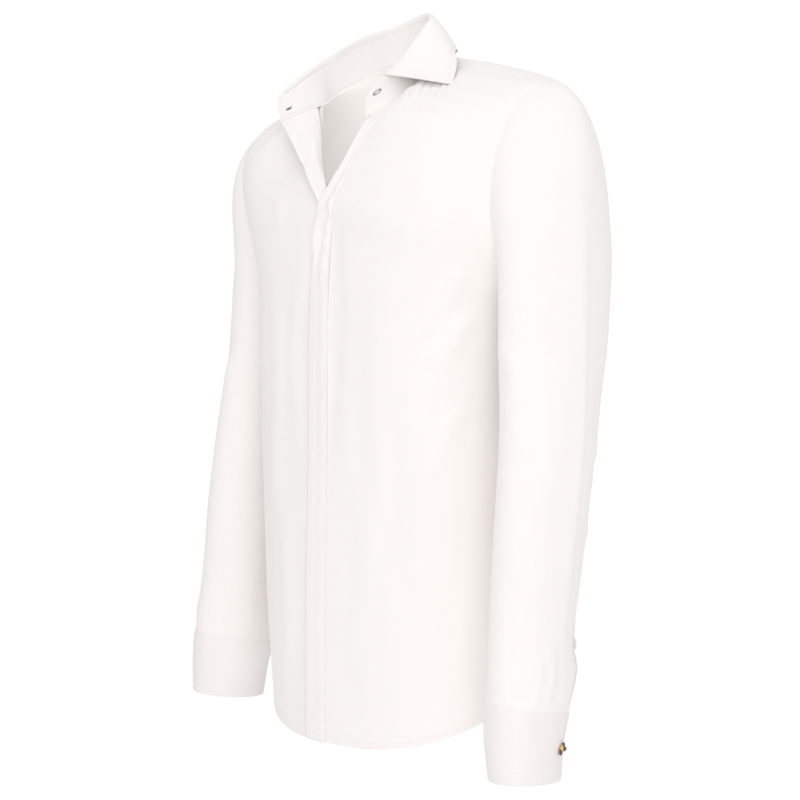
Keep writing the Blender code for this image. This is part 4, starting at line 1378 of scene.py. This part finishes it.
turns = CUFF_OPENING + (2 * math.pi + CUFF_OVERLAP) * places(CUFF_RUN, .0026)
slip = smooth(turns, FULL_TURN - math.radians(40), FULL_TURN - math.radians(4))
cuff_z = CUFF_BOTTOM_Z + CUFF_HEIGHT * (1 - places(CUFF_HEIGHT, .0030))
cuff_grid = sleeve_sections(cuff_z, turns[None, :], (CUFF_EASE - slip * .0028)[None, :])
for side, flip in EACH_SIDE:
    cuff = Piece(cuff_grid * np.array([flip, 1, 1]), flip)
    cuff.push(-.0004 * smooth(cuff.edges["low"], .0016, 0)
              - .0004 * smooth(cuff.edges["high"], .0012, 0))
    lay_cloth("cuff_band_" + side, "cuff_" + side, cuff, cuff_cloth, wall=CUFF_WALL,
              seams=[("high", .0052), ("left", .0052)])

# %% [markdown]
# ## Sleeve plackets
#
# Above the cuff the sleeve is slit so that the hand can pass, and a pointed strip of double
# cloth closes the slit.  A plain rectangle would be simpler, but the point is stitched all
# round.  So the grid itself ends in it: the columns start lower towards the sides.

# %% Sleeve plackets
STRIP_WIDTH = .026
STRIP_LENGTH = .125
STRIP_POINT = .013                 # by which the tip is higher than the strip's sides
STRIP_TOP_Z = -.4624
STRIP_TURNS = (294.7, 326)         # degrees round the sleeve, from one side to the other

part = places(STRIP_WIDTH, .0016)
tip = 1 - np.abs(2 * part - 1)
strip_turns = np.radians(STRIP_TURNS[0] + (STRIP_TURNS[1] - STRIP_TURNS[0]) * part)
down = places(STRIP_LENGTH, .0030)[:, None]
strip_low = CUFF_BOTTOM_Z + CUFF_HEIGHT + .0004
strip_z = (STRIP_TOP_Z - STRIP_POINT * (1 - tip)
           + down * (strip_low - STRIP_TOP_Z + STRIP_POINT * (1 - tip)))
bulge = strip_pleat(strip_z, strip_turns[None, :])
each = np.arange(len(part))
strip_rows = np.stack([sleeve_sections(row, strip_turns[None, :], .0010)[each, each]
                       for row in strip_z])
for side, flip in EACH_SIDE:
    gauntlet = Piece(strip_rows * np.array([flip, 1, 1]), flip)
    gauntlet.push(bulge)
    lay_cloth("sleeve_strip_" + side, "gauntlet_" + side, gauntlet, white_cloth, wall=.0009,
              seams=[("left", .0018), ("right", .0018), ("low", .0018)])

# %% [markdown]
# ## Buttons
#
# A shirt button is turned from a disc: a raised rim, a sunk middle and four holes crossed by
# thread.  A cylinder would do from far away, but the rim catches the light.  So a short
# profile of radius and height is swept round, and the holes are small dark discs sunk in it,
# painted shade in place of open holes.

# %% Buttons
BUTTON = ((.0040, -.0011), (.0052, -.0008), (.0055, -.0002), (.0055, .0004), (.0051, .0010),
          (.0044, .0011), (.0038, .0006), (.0005, .0005))
HOLE = ((.00046, .0003), (.00046, .00062), (.0001, .00063))
HOLE_AWAY = .0011                  # from the button's middle, each way
BUTTON_PROUD = .0036               # metres off the sleeve's own surface, on top of the strip


def frame_at(out):
    """Two directions that lie in the cloth, level and upright, square to its way out."""
    side = unit(np.cross(np.array([0, 0, 1.0]), out))
    return side, np.cross(out, side)


def turned(name, profile, centre, out, finish, node=None, stretch=(1, 1), count=40):
    """Sweep rows of (radius, height) round the way out of the cloth: centre + radius *
    (side * cos + up * sin) + out * height, with both ends closed."""
    side, up = frame_at(out)
    angle = np.linspace(0, 2 * math.pi, count, endpoint=False)
    radius, height = np.array(profile).T[:, :, None, None]
    ring = side * (np.cos(angle) * stretch[0])[:, None] + up * (np.sin(angle) * stretch[1])[:, None]
    points = (centre + ring * radius + out * height).reshape(-1, 3)
    index = np.arange(len(points)).reshape(-1, count)
    after = np.roll(index, -1, axis=1)
    faces = np.stack([index[:-1], after[:-1], after[1:], index[1:]], -1).reshape(-1, 4).tolist()
    faces += [index[0, ::-1].tolist(), index[-1].tolist()]
    mesh = bpy.data.meshes.new(name)
    mesh.from_pydata(points.tolist(), [], faces)
    show(mesh, finish, node, sharp=45)


def four_hole_button(name, centre, out, node=None):
    """A small button, its four holes as dark discs of painted shade, and the two bars of thread through
    them.
    """
    turned(name, BUTTON, centre, out, button_white, node)
    side, up = frame_at(out)
    holes = [centre + (side * a + up * b) * HOLE_AWAY for a in (-1, 1) for b in (-1, 1)]
    for number, place in enumerate(holes):
        # Each hole is a dark disc: painted shade in place of an open hole
        turned(f"{name}_hole_{number}", HOLE, place, out, dark_thread_and_hole_shade, count=12)
    middle = np.array([centre + up * HOLE_AWAY * b + out * .0009 for b in (-1, 1)])
    bars(name + "_thread", middle, np.tile(side, (2, 1)), np.tile(out, (2, 1)), .0030, .00030, thread)


for side, flip in EACH_SIDE:
    place, out = on_sleeve(BUTTON_Z, BUTTON_TURN, BUTTON_PROUD)
    ways = np.array([flip, 1, 1])
    four_hole_button("button_" + side, place * ways, out * ways, "gauntlet_button_" + side)

# %% [markdown]
# ## Cuff links
#
# A link holds the cuff's two ends together, and only its head shows: a gilt cup with a knot of
# three red-brown enamel petals and two gilt ones.  The knot could be one carved mesh, but a
# jeweller sets it from single petals.  So the loop below does that with one turned drop, each
# time stretched to another oval.

# %% Cuff links
CUP = ((.0026, .0000), (.0036, .0003), (.0042, .0010), (.0041, .0020), (.0032, .0027),
       (.0006, .0030))
PETAL = ((.0002, -.0001), (.0020, .0000), (.0024, .0008), (.0021, .0016), (.0012, .0022),
         (.0002, .0024))
# Each petal's place across the cup, up it and out of it, in millimetres, its stretch and finish
PETALS = ((1.2, 3.4, 1.2, 1.15, enamel), (-4.8, -2.4, 1.2, 1.15, enamel), (.8, .2, 3.0, .90, enamel),
          (-2.6, 1.2, 1.4, 1.0, gilt), (3.2, -1.4, 1.2, .90, gilt))
for side, flip in EACH_SIDE:
    place, out = on_sleeve(LINK_Z, CUFF_OPENING + CUFF_OVERLAP / 2, CUFF_EASE + CUFF_WALL / 2)
    ways = np.array([flip, 1, 1])
    place, out = place * ways, out * ways
    turned("link_cup_" + side, CUP, place, out, gilt, "cufflink_" + side)
    across, up = frame_at(out)
    for number, (a, b, rise, long, finish) in enumerate(PETALS):
        seat = place + (across * a + up * b + out * rise) * .001
        turned(f"link_petal_{side}_{number}", PETAL, seat, out, finish,
               stretch=(1 / long, long), count=24)
print("petals on each link:", len(PETALS))

# %% [markdown]
# ## Collar buttonhole and button
#
# The stand closes with one button.  Its buttonhole, at the left end, is a slit bound all round
# with close thread.  The slit could be cut through the band, but it stays closed and only the
# thread shows, so it is a ring of bars.  At the right end the button sits on the outer face,
# and its tack of dark thread shows on the inner one.

# %% Collar buttonhole and button
HOLE_AT = (.48, .68)               # station and height on the stand
HOLE_BARS = 34                     # bars of thread round it
HOLE_HALF_LENGTH = .0048
HOLE_HALF_WIDTH = .0014
BUTTON_STATION = 20.1
TACK = (-1, -.5, 0, .5, 1)         # its bars, side by side along the stand


def on_stand(station, height, lift):
    """A place on the collar stand, moved out of it; the way out; and the way along it."""
    patch = Piece(stand_points(np.array([station - .05, station, station + .05]),
                               np.array([height - .05, height, height + .05])), 1)
    out = patch.out[1, 1]
    return patch.points[1, 1] + out * lift, out, unit(patch.points[1, 2] - patch.points[1, 0])


centre, out, way = on_stand(*HOLE_AT, .0010)
angle = np.linspace(0, 2 * math.pi, HOLE_BARS, endpoint=False)
upward = np.cross(out, way)
ring = (way * (np.cos(angle) * HOLE_HALF_LENGTH)[:, None]
        + upward * (np.sin(angle) * HOLE_HALF_WIDTH)[:, None])
radial = way * (np.cos(angle) * .35)[:, None] + upward * np.sin(angle)[:, None]
bars("collar_buttonhole", centre + ring, radial, np.tile(out, (HOLE_BARS, 1)), .0016, .00024,
     grey_thread)

centre, out, way = on_stand(BUTTON_STATION, .30, -.0011)
tack = np.array([centre + way * .0024 * s + np.cross(out, way) * .0006 * (-1) ** k
                 for k, s in enumerate(TACK)])
bars("button_tack", tack, np.tile(way, (len(TACK), 1)), np.tile(-out, (len(TACK), 1)), .0032, .00042,
     dark_thread_and_hole_shade)
centre, out, way = on_stand(BUTTON_STATION, .45, .0024)
four_hole_button("collar_button", centre, out)

# %% [markdown]
# ## White room
#
# The shirt hangs in a bright white room.  A white world could light it all, but then white
# cloth shows no folds.  So the world that lights the shirt is dimmer than the one that the
# camera sees behind it: a Light Path node tells the two apart.

# %% White room
world = bpy.data.worlds.new("white room")
bpy.context.scene.world = world
room = Board(world, "Background")
room.give(Color=(1, .975, .965, 1), Strength=.66)
backdrop = room.node("ShaderNodeBackground", None, {"Color": (1, 1, 1, 1), "Strength": 1.05})
seen = room.node("ShaderNodeLightPath")
surround = Wire(room, room.shader.outputs[0])
both = room.node("ShaderNodeMixShader", None, {0: seen, 1: surround, 2: backdrop})
room.plug(room.tree.nodes["World Output"].inputs["Surface"], both)
print("white room:", len(room.tree.nodes), "nodes")

# %% [markdown]
# ## Lamps
#
# One large soft lamp from the wearer's left brightens the near side and leaves the far sleeve
# a little in shade, and four others fill in.  Small lamps would be simpler to aim, but their
# hard shadows hide the folds.  A small lamp inside the neck keeps the open collar light, as
# thin white cotton glows when light falls on it.

# %% Lamps
# name, place, point that it is aimed at, width in metres, power in watts
LAMPS = (("key light", (2.15, -1.45, .25), (0, 0, -.20), 1.5, 10.5),
         ("front light", (.10, -2.6, .10), (0, 0, -.30), 1.6, 8),
         ("side light", (2.1, 1.7, .10), (.1, 0, -.35), 1.5, 9),
         ("top light", (.5, -.7, 2.1), (.05, 0, 0), 2.2, 15),
         ("low light", (1.6, -1.6, -1.0), (.1, 0, 0), 1.2, 4),
         ("light within", (-.035, -.030, -.050), (-.150, .020, .025), .05, .115))
for name, place, aim, size, power in LAMPS:
    lamp = bpy.data.lights.new(name, "AREA")
    lamp.shape = "DISK"
    lamp.size = size
    lamp.energy = power
    softbox = bpy.data.objects.new(name, lamp)
    softbox.location = place
    way = np.array(aim) - np.array(place)
    softbox.rotation_euler = (math.acos(-way[2] / np.linalg.norm(way)), 0,
                              math.atan2(way[1], way[0]) - math.pi / 2)
    softbox.visible_camera = False
    bpy.context.scene.collection.objects.link(softbox)
print("lamps:", len(LAMPS))

# %% [markdown]
# ## Floor
#
# A round pale floor lies well below the hem.  It glows faintly, so it fades into the white room
# with no edge, which a plain plane would show.

# %% Floor
FLOOR_Z = -1.45
FLOOR_RADIUS = 2.2
FLOOR_CORNERS = 64

floor_mesh = bpy.data.meshes.new("floor")
angle = np.linspace(0, 2 * math.pi, FLOOR_CORNERS, endpoint=False)
disc = np.stack([FLOOR_RADIUS * np.cos(angle), FLOOR_RADIUS * np.sin(angle), 0 * angle + FLOOR_Z], -1)
floor_mesh.from_pydata(disc.tolist(), [], [list(range(FLOOR_CORNERS))])
floor = bpy.data.objects.new("floor", floor_mesh)
bpy.context.scene.collection.objects.link(floor)
floor_board = Board(bpy.data.materials.new("pale floor"))
grain = floor_board.node("ShaderNodeTexNoise", None, {"Scale": 3.})
floor_board.give(Base_Color=floor_board.mix(grain, (.93, .93, .93, 1), (.95, .95, .95, 1)),
                 Roughness=.9, Emission_Color=(1, 1, 1, 1), Emission_Strength=.12)
floor_mesh.materials.append(floor_board.owner)
bpy.context.scene.view_settings.view_transform = "Standard"
bpy.context.scene.view_settings.look = "None"
print("floor", round(-FLOOR_Z, 2), "m below the shoulders")
